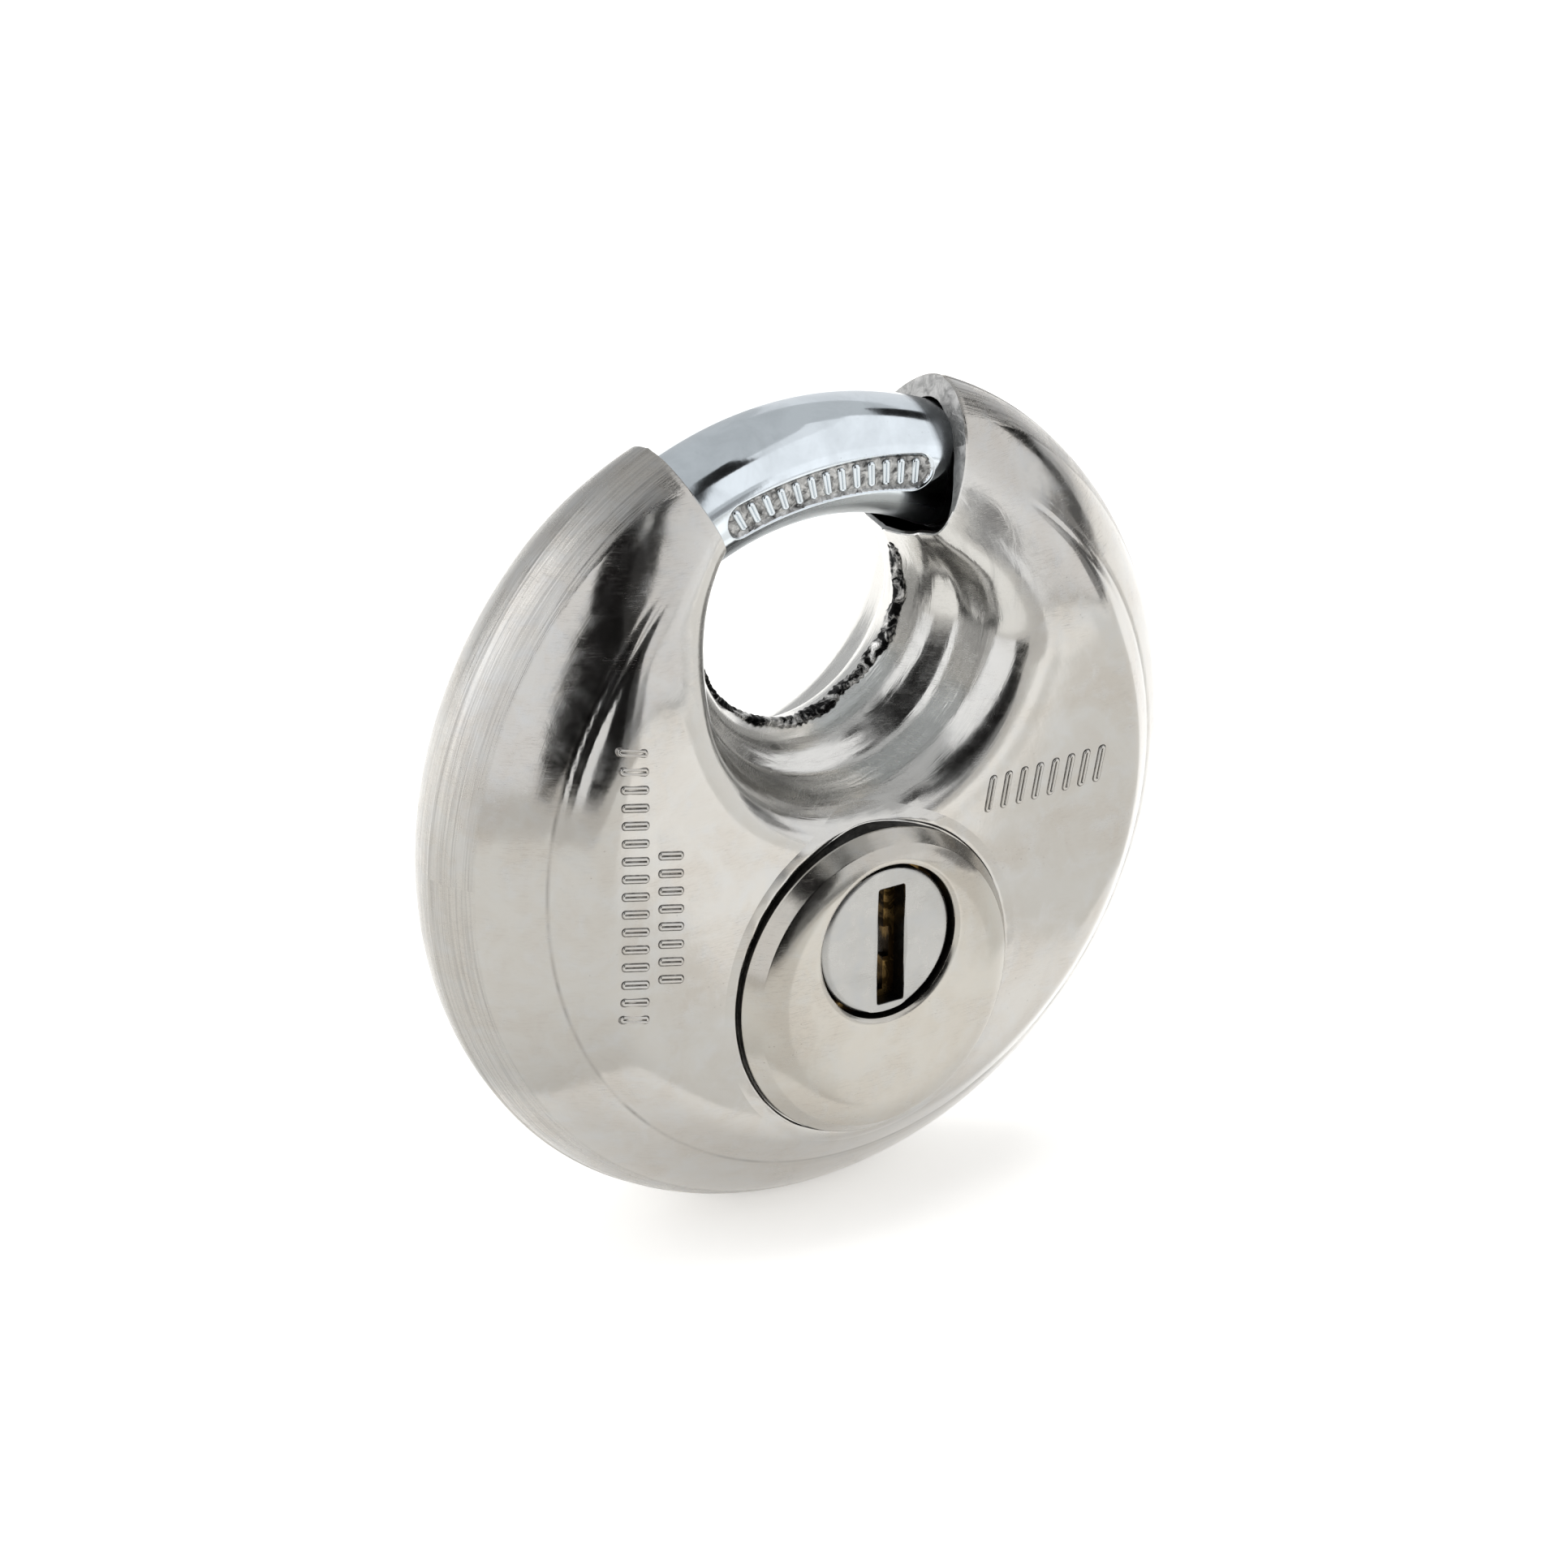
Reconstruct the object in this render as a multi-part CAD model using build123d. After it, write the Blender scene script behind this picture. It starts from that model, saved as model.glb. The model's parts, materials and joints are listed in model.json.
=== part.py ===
from build123d import *
import math
import os

# Disc padlock, 70 mm size, millimetres.
# The lock is upright as it hangs: front towards -Y, up towards +Z.
# Every shape is drawn about the disc centre on the seam plane (y = 0) and then
# lowered by RING_RADIUS, so the origin is the middle of the shackle bar at its crown.
# "height" is the distance from the seam plane, towards the front or the rear face.

# ---- disc case -------------------------------------------------------------
DISC_RADIUS = 35.0
WALL = 1.8
FACE_HEIGHT = 11.6
CREASE_RADIUS = 29.4
CREASE_HEIGHT = 8.57
RIM_MID = (33.5, 4.2)
SHOULDER_MID = (27.6, 10.7)
FLAT_RADIUS = 25.0
CROWN_START_Z = 6.0
CROWN_RADIUS = 45.0
MOUTH_RIGHT_DEG = 65.8
MOUTH_LEFT_DEG = 114.0

# ---- hole through the disc, under the shackle ------------------------------
HOLE_Z = 15.75
HOLE_RADIUS = 10.0
HOLE_STEPS = ((10.6, 2.0), (12.3, 4.5), (13.9, 6.5))
HOLE_LIP_MID = (15.2, 9.3)
HOLE_LIP_RADIUS = 17.5

# ---- shackle ---------------------------------------------------------------
RING_RADIUS = 27.9
BAR_RADIUS = 4.9
CHANNEL_RADIUS = 5.2
TIP_DEG = 58.0
TAIL_DEG = 290.0
TIP_CHAMFER = 0.9
RACK_FLAT_Y = 3.6

# ---- cylinder --------------------------------------------------------------
PLUG_Z = -9.0
PLUG_RADIUS = 5.94
PLUG_BORE = 6.0
HOUSING_Z = -12.0
HOUSING_RADIUS = 10.0
HOUSING_FRONT_Y = -11.8
HOUSING_REAR_Y = 3.9
GUARD_Z = -13.0
GUARD_RADIUS = 13.0
GUARD_FRONT_Y = -13.9
GUARD_REAR_Y = -9.6
GUARD_BEVEL = 1.2
GUARD_EYE = 6.57
FACE_PLATE_RADIUS = 6.2
FACE_PLATE_Y = -13.4
FACE_PLATE_THICKNESS = 1.5
SLOT_X = 0.5
SLOT_Z = -9.5
SLOT_WIDTH = 2.6
SLOT_HEIGHT = 10.0
KEYWAY_WIDTH = 1.5
KEYWAY_END_Y = 1.6
DRILL_PINS = ((-6.6, -15.4), (6.6, -15.4))
DRILL_PIN_RADIUS = 0.78
DRILL_PIN_LENGTH = 5.9

# ---- pin stacks ------------------------------------------------------------
PIN_Y = (-9.7, -6.7, -3.7, -0.7, 2.3)
PIN_RADIUS = 1.2
PIN_BORE = 1.3
KEY_PIN_LENGTH = (3.4, 2.7, 3.9, 3.1, 2.5)
KEY_PIN_FOOT_Z = -14.75
DRIVER_TOP_Z = -15.06
DRIVER_LENGTH = 2.8
CHAMBER_END_Z = -21.2
COVER_THICKNESS = 0.7
COVER_WIDTH = 3.16
SPRING_RADIUS = 0.9
SPRING_WIRE = 0.14
SPRING_TURNS = 5

# ---- gearing between plug and shackle ---------------------------------------
MODULE = 1.5
SECTOR_TEETH = 20
RING_TEETH = 32
PRESSURE_DEG = 25.0
ADDENDUM = 1.2
DEDENDUM = 1.5
BACKLASH = 0.16
SECTOR_Y = (4.2, 6.2)
HUB_RADIUS = 5.6
RACK_Y = (RACK_FLAT_Y, 6.4)
RACK_OUTER = 28.0
RACK_START_DEG = 196.0
RACK_END_DEG = 288.0
MESH_DEG = 270.0
SECTOR_AHEAD = 1
SECTOR_BEHIND = 6

# ---- inner body and back plate ----------------------------------------------
BODY_RADIUS = 25.5
BODY_FRONT_Y = -9.5
BODY_REAR_Y = 3.4
BODY_TOP_Z = 11.0
POCKET_X = 16.2
POCKET_SIZE = (5.0, 8.0, 9.0)
POCKET_MIDDLE = (-6.0, -6.5)
HOUSING_SCREW_Y = -2.5
HOUSING_SCREW_RADIUS = 1.45
HOUSING_SCREW_LENGTH = 6.0
GROOVE_RADIUS = 5.15
POSTS = ((-17.5, 5.0), (17.5, 5.0), (-18.6, -5.5), (18.6, -5.5))
POST_RADIUS = 2.0
PLATE_Y = (7.6, 9.3)
PLATE_RADIUS = 22.4
SCREW_RADIUS = 1.1
JOURNAL_RADIUS = 2.6
JOURNAL_BORE = 2.66
TAIL_RADIUS = 3.2
TAIL_FLAT = 2.3
NECK_RADIUS = 2.0
NECK_LENGTH = 0.6
CLIP_RADIUS = 4.2
CLIP_THICKNESS = 0.5
RIVET_RADIUS = 0.98
RIVET_CIRCLE = 26.6
RIVET_DEGS = (203.0, 281.0)
HEAD_RADIUS = 2.0
HEAD_HEIGHT = 1.0


def save(name, *solids):
    """Write one node, lowered so that the origin is the shackle's crown."""
    placed = [Pos(0, 0, -RING_RADIUS) * solid for solid in solids]
    shape = placed[0] if len(placed) == 1 else Compound(placed)
    export_step(shape, os.path.join("parts", name + ".step"))


def disc(radius, y0, y1, x=0.0, z=0.0):
    """Round solid with its axis along Y."""
    return Pos(x, (y0 + y1) / 2, z) * (Rot(90, 0, 0) * Cylinder(radius, y1 - y0))


def rod(radius, z0, z1, x=0.0, y=0.0):
    """Round solid with its axis along Z."""
    return Pos(x, y, (z0 + z1) / 2) * Cylinder(radius, z1 - z0)


def block(x0, x1, y0, y1, z0, z1):
    return Pos((x0 + x1) / 2, (y0 + y1) / 2, (z0 + z1) / 2) * Box(x1 - x0, y1 - y0, z1 - z0)


def swept_ring(face, start_deg, arc_deg):
    """Turn a face drawn in radius (X) and y about the disc axis, anticlockwise from the front."""
    return Rot(0, -start_deg, 0) * revolve(face, Axis((0, 0, 0), (0, -1, 0)), arc_deg)


def ring_sector(r0, r1, y0, y1, start_deg, end_deg):
    face = Pos((r0 + r1) / 2, (y0 + y1) / 2) * Rectangle(r1 - r0, y1 - y0)
    return swept_ring(face, start_deg, end_deg - start_deg)


def polar(radius, angle_deg, centre_z=0.0):
    a = math.radians(angle_deg)
    return (radius * math.cos(a), centre_z + radius * math.sin(a))


# ---- case ------------------------------------------------------------------

def half_disc(inset):
    """Rear half of the disc's outer form, with its surface moved in by inset."""
    r_mid, h_mid = RIM_MID
    s_mid, t_mid = SHOULDER_MID
    rim = ThreePointArc(
        (DISC_RADIUS - inset, 0),
        (r_mid - 0.84 * inset, h_mid - 0.55 * inset),
        (CREASE_RADIUS - 0.63 * inset, CREASE_HEIGHT - 0.77 * inset))
    shoulder = ThreePointArc(
        rim @ 1,
        (s_mid - 0.57 * inset, t_mid - 0.82 * inset),
        (FLAT_RADIUS - 0.2 * inset, FACE_HEIGHT - inset))
    axis_line = Polyline(shoulder @ 1, (0, FACE_HEIGHT - inset), (0, 0), rim @ 0)
    turned = revolve(make_face(rim + shoulder + axis_line), Axis.Y, 360)
    return turned & crown_form(inset)


def crown_form(inset):
    """Side outline of the rear half: flat face, falling back in an arc towards the shackle."""
    top_z = DISC_RADIUS + 1
    face_y = FACE_HEIGHT - inset
    radius = CROWN_RADIUS - inset
    arc_y = FACE_HEIGHT - CROWN_RADIUS
    rise = top_z - CROWN_START_Z
    mid = math.asin(rise / radius) / 2
    arc = ThreePointArc(
        (face_y, CROWN_START_Z),
        (arc_y + radius * math.cos(mid), CROWN_START_Z + radius * math.sin(mid)),
        (arc_y + math.sqrt(radius ** 2 - rise ** 2), top_z))
    back_y = -CROWN_RADIUS
    rest = Polyline(arc @ 1, (back_y, top_z), (back_y, -top_z), (face_y, -top_z), arc @ 0)
    side = Plane.YZ * make_face(arc + rest)
    return extrude(side, 2 * top_z, both=True)


def funnel(inset):
    """The hole's flared form for the rear half, grown outwards by inset."""
    reach = FACE_HEIGHT + 3
    steps = [(r + inset, h - 0.3 * inset) for r, h in HOLE_STEPS]
    wall = Polyline((0, -1), (HOLE_RADIUS + inset, -1), (HOLE_RADIUS + inset, 0), *steps)
    lip = ThreePointArc(
        wall @ 1,
        (HOLE_LIP_MID[0] + inset, HOLE_LIP_MID[1] - 0.4 * inset),
        (HOLE_LIP_RADIUS + inset, FACE_HEIGHT - 0.5 * inset))
    rest = Polyline(lip @ 1, (HOLE_LIP_RADIUS + inset, reach), (0, reach), wall @ 0)
    return Pos(0, 0, HOLE_Z) * revolve(make_face(wall + lip + rest), Axis.Y, 360)


def shackle_gap():
    """Wedge of the disc that is left open for the shackle."""
    far = DISC_RADIUS + 5
    return ring_sector(HOLE_Z, far, -far, far, MOUTH_RIGHT_DEG, MOUTH_LEFT_DEG)


def channel():
    return Rot(90, 0, 0) * Torus(RING_RADIUS, CHANNEL_RADIUS)


def rear_shell():
    """Pressed rear half with its wall, channel and mouths."""
    outer = half_disc(0) - funnel(0)
    cavity = half_disc(WALL) - funnel(WALL) - block(-40, 40, -1, 0, -40, 40)
    shell = outer - cavity - channel() - shackle_gap()
    return shell


def front_shell():
    shell = mirror(rear_shell(), Plane.XZ)
    clear = 0.2
    return shell - disc(GUARD_RADIUS + clear, -FACE_HEIGHT - 2, -8.4, z=GUARD_Z)


def cylinder_guard():
    """Raised cap over the cylinder, with an eye for the plug."""
    cap = disc(GUARD_RADIUS, GUARD_FRONT_Y, GUARD_REAR_Y, z=GUARD_Z)
    front_edge = cap.edges().sort_by(Axis.Y)[0]
    cap = fillet(front_edge, GUARD_BEVEL)
    seat = disc(HOUSING_RADIUS + 0.1, HOUSING_FRONT_Y - 0.1, 0, z=HOUSING_Z)
    eye = disc(GUARD_EYE, GUARD_FRONT_Y - 1, 0, z=PLUG_Z)
    return cap - seat - eye


# ---- inner body --------------------------------------------------------------

def inner_body():
    """Cast core that holds the cylinder and carries the shackle's groove."""
    body = disc(BODY_RADIUS, BODY_FRONT_Y, BODY_REAR_Y)
    body -= mirror(funnel(WALL + 0.5), Plane.XZ)
    body -= funnel(WALL + 0.5)
    body -= Rot(90, 0, 0) * Torus(RING_RADIUS, GROOVE_RADIUS)
    body -= block(-40, 40, -20, 20, BODY_TOP_Z, 40)
    rim_clear = GROOVE_RADIUS + 0.2
    body -= ring_sector(RING_RADIUS - rim_clear, 40, 0, 10, 0, 360)
    body -= disc(HOUSING_RADIUS + 0.05, -20, 20, z=HOUSING_Z)
    body -= disc(GUARD_RADIUS + 0.2, -20, GUARD_REAR_Y + 0.1, z=GUARD_Z)
    for x, z in POSTS:
        body += disc(POST_RADIUS, BODY_REAR_Y - 2, PLATE_Y[0], x, z)
        body -= disc(SCREW_RADIUS - 0.05, 0, 20, x, z)
    for side in (-1, 1):
        body -= Pos(side * POCKET_X, *POCKET_MIDDLE) * Box(*POCKET_SIZE)
    far = BODY_RADIUS + 2
    path_length = far - HOUSING_RADIUS + 2
    path = Rot(0, 90, 0) * Cylinder(HOUSING_SCREW_RADIUS + 0.05, path_length)
    return body - Pos(path_length / 2 - far, HOUSING_SCREW_Y, HOUSING_Z) * path


def housing_screw():
    """Socket set screw that holds the cylinder housing in the body."""
    outer_end = -HOUSING_RADIUS - 0.05 - HOUSING_SCREW_LENGTH
    place = Pos(outer_end, HOUSING_SCREW_Y, HOUSING_Z) * Rot(0, 90, 0)
    shank = extrude(Circle(HOUSING_SCREW_RADIUS), HOUSING_SCREW_LENGTH)
    socket = extrude(RegularPolygon(0.8, 6), 1.5)
    return place * (shank - socket)


def back_plate():
    plate = disc(PLATE_RADIUS, *PLATE_Y) - funnel(WALL + 0.6)
    plate -= block(-40, 40, 0, 20, BODY_TOP_Z, 40)
    plate -= disc(JOURNAL_BORE, 0, 20, z=PLUG_Z)
    for x, z in POSTS:
        plate -= disc(SCREW_RADIUS + 0.1, 0, 20, x, z)
        plate -= disc(HEAD_RADIUS + 0.1, PLATE_Y[1] - 0.7, 20, x, z)
    return plate


def plate_screws():
    screws = []
    for x, z in POSTS:
        head_y = PLATE_Y[1] - 0.7
        shank = disc(SCREW_RADIUS - 0.05, 1.0, head_y + 0.1, x, z)
        head = disc(HEAD_RADIUS, head_y, head_y + HEAD_HEIGHT, x, z)
        slot = Pos(x, head_y + HEAD_HEIGHT, z) * Box(5, 0.8, 0.5)
        screws.append(shank + head - slot)
    return screws


def shackle_stop():
    """Slug in the channel that the shackle's tip stops against."""
    clear_deg = 0.8
    length_deg = 9.0
    face = Pos(RING_RADIUS, 0) * Circle(BAR_RADIUS - 0.2)
    return swept_ring(face, TIP_DEG - clear_deg - length_deg, length_deg)


# ---- cylinder ----------------------------------------------------------------

def cylinder_housing():
    housing = disc(HOUSING_RADIUS, HOUSING_FRONT_Y, HOUSING_REAR_Y, z=HOUSING_Z)
    housing -= disc(PLUG_BORE, -20, 20, z=PLUG_Z)
    for y in PIN_Y:
        housing -= rod(PIN_BORE, CHAMBER_END_Z - 2, PLUG_Z - 5, y=y)
    half = COVER_WIDTH / 2 + 0.02
    below = HOUSING_Z - HOUSING_RADIUS - 1
    housing -= block(-half, half, HOUSING_FRONT_Y - 1, HOUSING_REAR_Y + 1, below, CHAMBER_END_Z)
    depth_y = HOUSING_FRONT_Y + DRILL_PIN_LENGTH + 0.1
    for x, z in DRILL_PINS:
        housing -= disc(DRILL_PIN_RADIUS + 0.02, HOUSING_FRONT_Y - 1, depth_y, x, z)
    return housing


def drill_pins():
    y0 = HOUSING_FRONT_Y
    return [disc(DRILL_PIN_RADIUS, y0, y0 + DRILL_PIN_LENGTH, x, z) for x, z in DRILL_PINS]


def chamber_cover():
    z1 = CHAMBER_END_Z - 0.02
    half = COVER_WIDTH / 2
    strip = block(-half, half, HOUSING_FRONT_Y, HOUSING_REAR_Y, z1 - COVER_THICKNESS, z1)
    return strip & disc(HOUSING_RADIUS, HOUSING_FRONT_Y, HOUSING_REAR_Y, z=HOUSING_Z)


def keyway():
    """Stepped keyway: wide at the top, narrow over the pins, with a rib on the left."""
    low = PLUG_Z - SLOT_HEIGHT / 2
    high = PLUG_Z + SLOT_HEIGHT / 2
    y0 = FACE_PLATE_Y - 1
    narrow = block(-KEYWAY_WIDTH / 2, KEYWAY_WIDTH / 2, y0, KEYWAY_END_Y, low, high)
    half = SLOT_WIDTH / 2
    upper = block(-half, KEYWAY_WIDTH / 2, y0, KEYWAY_END_Y, PLUG_Z + 1.4, high - 0.8)
    middle = block(-KEYWAY_WIDTH / 2, half, y0, KEYWAY_END_Y, PLUG_Z - 2.2, PLUG_Z + 0.4)
    return narrow + upper + middle


def plug():
    """Keyed barrel with a flatted tail, a clip groove and a rear journal."""
    body = disc(PLUG_RADIUS, FACE_PLATE_Y + FACE_PLATE_THICKNESS, HOUSING_REAR_Y, z=PLUG_Z)
    groove_y = SECTOR_Y[1] + 0.1
    relief_y = groove_y + NECK_LENGTH
    journal_y = PLATE_Y[0] - 0.2
    tail = disc(TAIL_RADIUS, HOUSING_REAR_Y, groove_y, z=PLUG_Z)
    tail &= block(-TAIL_FLAT, TAIL_FLAT, 0, 10, -20, 0)
    neck = disc(NECK_RADIUS, groove_y, relief_y, z=PLUG_Z)
    relief = disc(JOURNAL_RADIUS - 0.4, relief_y, journal_y, z=PLUG_Z)
    journal = disc(JOURNAL_RADIUS, journal_y, PLATE_Y[1], z=PLUG_Z)
    body = body + tail + neck + relief + journal - keyway()
    for y in PIN_Y:
        body -= rod(PIN_RADIUS + 0.06, PLUG_Z - 7, PLUG_Z - 0.8, y=y)
    return body


def plug_face():
    """Hard steel cap on the plug, with the key slot."""
    rear_y = FACE_PLATE_Y + FACE_PLATE_THICKNESS
    plate = disc(FACE_PLATE_RADIUS, FACE_PLATE_Y, rear_y, z=PLUG_Z)
    plate = fillet(plate.edges().sort_by(Axis.Y)[0], 0.35)
    return plate - Pos(SLOT_X, FACE_PLATE_Y, SLOT_Z) * Box(SLOT_WIDTH, 10, SLOT_HEIGHT)


def key_pin(y, length):
    pin = rod(PIN_RADIUS, KEY_PIN_FOOT_Z, KEY_PIN_FOOT_Z + length, y=y)
    return chamfer(pin.edges().sort_by(Axis.Z)[-1], 0.8, 0.7)


def driver_pin(y):
    pin = rod(PIN_RADIUS, DRIVER_TOP_Z - DRIVER_LENGTH, DRIVER_TOP_Z, y=y)
    return chamfer(pin.edges().group_by(Axis.Z)[0], 0.25)


def pin_spring(y):
    top = DRIVER_TOP_Z - DRIVER_LENGTH - SPRING_WIRE - 0.03
    bottom = CHAMBER_END_Z + SPRING_WIRE + 0.03
    coil = Helix((top - bottom) / SPRING_TURNS, top - bottom, SPRING_RADIUS)
    wire = Plane(origin=coil @ 0, z_dir=coil % 0) * Circle(SPRING_WIRE)
    return Pos(0, y, bottom) * sweep(wire, path=coil)


# ---- gearing -----------------------------------------------------------------

def involute_half_angle(radius, pitch_radius, pitch_half_angle):
    """Half the angle that an involute tooth covers at a radius."""
    alpha = math.radians(PRESSURE_DEG)
    base = pitch_radius * math.cos(alpha)
    at = math.acos(min(1.0, base / max(radius, base)))
    return pitch_half_angle + (math.tan(alpha) - alpha) - (math.tan(at) - at)


def tooth(teeth, inner, outer, width_change, centre_z, centre_deg, y0, y1):
    """One involute tooth as a solid, from inner to outer radius."""
    pitch_radius = MODULE * teeth / 2
    half = (math.pi * MODULE / 2 + width_change) / (2 * pitch_radius)

    def flank(radius, side):
        spread = math.degrees(involute_half_angle(radius, pitch_radius, half))
        return polar(radius, centre_deg + side * spread, centre_z)

    middle = (inner + outer) / 2
    left = ThreePointArc(flank(inner, -1), flank(middle, -1), flank(outer, -1))
    tip = ThreePointArc(flank(outer, -1), polar(outer, centre_deg, centre_z), flank(outer, 1))
    right = ThreePointArc(flank(outer, 1), flank(middle, 1), flank(inner, 1))
    root = Line(flank(inner, 1), flank(inner, -1))
    face = Plane.XZ * make_face(left + tip + right + root)
    return Pos(0, y1, 0) * extrude(face, y1 - y0)


def drive_sector():
    """Toothed quarter on the plug's tail, turning with the key."""
    y0, y1 = SECTOR_Y
    pitch = MODULE * SECTOR_TEETH / 2
    root = pitch - DEDENDUM
    step = 360 / SECTOR_TEETH
    start = MESH_DEG - (SECTOR_BEHIND + 0.45) * step
    end = MESH_DEG + (SECTOR_AHEAD + 0.45) * step
    web = Pos(0, 0, PLUG_Z) * ring_sector(NECK_RADIUS, root, y0, y1, start, end)
    sector = web + disc(HUB_RADIUS, y0, y1, z=PLUG_Z)
    for index in range(-SECTOR_AHEAD, SECTOR_BEHIND + 1):
        centre = MESH_DEG - index * step
        inner = root - 0.4
        sector += tooth(SECTOR_TEETH, inner, pitch + ADDENDUM, -BACKLASH, PLUG_Z, centre, y0, y1)
    seat = disc(TAIL_RADIUS + 0.02, 0, 20, z=PLUG_Z)
    flat = TAIL_FLAT + 0.02
    return sector - (seat & block(-flat, flat, 0, 20, -20, 0))


def tail_clip():
    """Circlip in the groove behind the toothed quarter."""
    y0 = SECTOR_Y[1] + 0.12
    clip = disc(CLIP_RADIUS, y0, y0 + CLIP_THICKNESS, z=PLUG_Z)
    clip -= disc(NECK_RADIUS + 0.02, 0, 20, z=PLUG_Z)
    mouth = 0.7 * NECK_RADIUS
    return clip - block(-mouth, mouth, 0, 20, PLUG_Z, PLUG_Z + 6)


def rack_rivet_places():
    return [polar(RIVET_CIRCLE, angle) for angle in RIVET_DEGS]


def shackle_rack():
    """Toothed ring segment riveted to the rear of the shackle's tail."""
    y0, y1 = RACK_Y
    pitch = MODULE * RING_TEETH / 2
    rack = ring_sector(pitch - ADDENDUM, RACK_OUTER, y0, y1, RACK_START_DEG, RACK_END_DEG)
    step = 360 / RING_TEETH
    for index in range(-SECTOR_AHEAD, SECTOR_BEHIND + 1):
        centre = MESH_DEG - index * step
        rack -= tooth(RING_TEETH, pitch - 2.4, pitch + DEDENDUM, BACKLASH, 0, centre, y0 - 1, y1 + 1)
    for x, z in rack_rivet_places():
        rack -= disc(RIVET_RADIUS + 0.02, 0, 20, x, z)
    return rack


def rack_rivets():
    return [disc(RIVET_RADIUS, 0.6, RACK_Y[1], x, z) for x, z in rack_rivet_places()]


# ---- shackle -----------------------------------------------------------------

def shackle():
    """Ring of round bar with a broken tip and a flat for the toothed segment."""
    face = Pos(RING_RADIUS, 0) * Circle(BAR_RADIUS)
    bar = revolve(face, Axis((0, 0, 0), (0, -1, 0)), TAIL_DEG - TIP_DEG)
    tip_end = bar.faces().filter_by(GeomType.PLANE).sort_by(Axis.X)[-1]
    bar = Rot(0, -TIP_DEG, 0) * chamfer(tip_end.edges(), TIP_CHAMFER)
    margin = 2.0
    bar -= ring_sector(18, 34, RACK_FLAT_Y, 8, RACK_START_DEG - margin, TAIL_DEG + margin)
    for x, z in rack_rivet_places():
        bar -= disc(RIVET_RADIUS + 0.02, 0.5, 20, x, z)
    return bar


def main():
    os.makedirs("parts", exist_ok=True)
    save("front_shell", front_shell())
    save("rear_shell", rear_shell())
    save("cylinder_guard", cylinder_guard())
    save("inner_body", inner_body())
    save("housing_screw", housing_screw())
    save("back_plate", back_plate())
    save("plate_screws", *plate_screws())
    save("shackle_stop", shackle_stop())
    save("cylinder_housing", cylinder_housing())
    save("drill_pins", *drill_pins())
    save("chamber_cover", chamber_cover())
    save("plug", plug())
    save("plug_face", plug_face())
    for number, (y, length) in enumerate(zip(PIN_Y, KEY_PIN_LENGTH), start=1):
        save(f"key_pin_{number}", key_pin(y, length))
        save(f"driver_pin_{number}", driver_pin(y))
        save(f"pin_spring_{number}", pin_spring(y))
    save("drive_sector", drive_sector())
    save("tail_clip", tail_clip())
    save("shackle_rack", shackle_rack())
    save("rack_rivets", *rack_rivets())
    save("shackle", shackle())


main()
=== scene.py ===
import json
import math
import random
import bpy
import numpy as np
from mathutils import Matrix, Vector


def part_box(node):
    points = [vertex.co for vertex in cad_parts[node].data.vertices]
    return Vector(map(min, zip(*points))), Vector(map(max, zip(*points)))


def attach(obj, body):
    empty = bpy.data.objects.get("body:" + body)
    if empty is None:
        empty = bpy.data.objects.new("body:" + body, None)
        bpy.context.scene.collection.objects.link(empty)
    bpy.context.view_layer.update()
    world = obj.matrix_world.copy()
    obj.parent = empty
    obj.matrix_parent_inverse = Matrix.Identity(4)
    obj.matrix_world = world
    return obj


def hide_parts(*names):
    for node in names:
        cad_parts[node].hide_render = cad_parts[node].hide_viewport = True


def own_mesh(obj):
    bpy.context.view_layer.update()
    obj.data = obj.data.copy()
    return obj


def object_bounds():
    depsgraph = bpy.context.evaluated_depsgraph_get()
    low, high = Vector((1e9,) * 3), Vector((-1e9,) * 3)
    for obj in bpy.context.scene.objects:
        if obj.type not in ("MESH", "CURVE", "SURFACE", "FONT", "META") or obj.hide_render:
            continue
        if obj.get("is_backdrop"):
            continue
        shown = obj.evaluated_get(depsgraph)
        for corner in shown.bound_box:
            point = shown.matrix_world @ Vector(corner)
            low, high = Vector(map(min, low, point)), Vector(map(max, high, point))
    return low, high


# Disc padlock. Shapes are worked out in millimetres about the disc's centre:
# x to the right, z up, and "height" out of the seam plane, towards the front or the rear.

MM = 0.001
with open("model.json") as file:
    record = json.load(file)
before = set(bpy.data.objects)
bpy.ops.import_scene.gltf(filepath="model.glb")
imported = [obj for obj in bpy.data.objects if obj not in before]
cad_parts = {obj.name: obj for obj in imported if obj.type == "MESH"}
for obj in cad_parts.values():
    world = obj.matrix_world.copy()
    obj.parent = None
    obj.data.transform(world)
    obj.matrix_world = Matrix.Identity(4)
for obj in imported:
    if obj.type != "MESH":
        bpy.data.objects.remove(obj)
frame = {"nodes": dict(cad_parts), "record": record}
cad_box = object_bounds()

# ---- sizes read from the frame ----


def span(node):
    """Lowest and highest corner of a CAD node, in millimetres."""
    low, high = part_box(node)
    return Vector(low) / MM, Vector(high) / MM


rear_low, rear_high = span("rear_shell")
DISC_R = (rear_high.x - rear_low.x) / 2
CENTRE_Z = rear_low.z + DISC_R
FACE_H = rear_high.y
RING_R = -CENTRE_Z
shackle_low = span("shackle")[0]
BAR_R = -shackle_low.y
guard_low, guard_high = span("cylinder_guard")
GUARD_R = (guard_high.x - guard_low.x) / 2
GUARD_Z = (guard_high.z + guard_low.z) / 2 - CENTRE_Z
GUARD_H = -guard_low.y
GUARD_FOOT_H = -guard_high.y
plug_low, plug_high = span("plug_face")
PLUG_R = (plug_high.x - plug_low.x) / 2
PLUG_Z = (plug_high.z + plug_low.z) / 2 - CENTRE_Z
PLUG_H = -plug_low.y
PLUG_BACK_H = -plug_high.y
rack_low = span("shackle_rack")[0]

# ---- sizes of the pressed case ----

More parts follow.
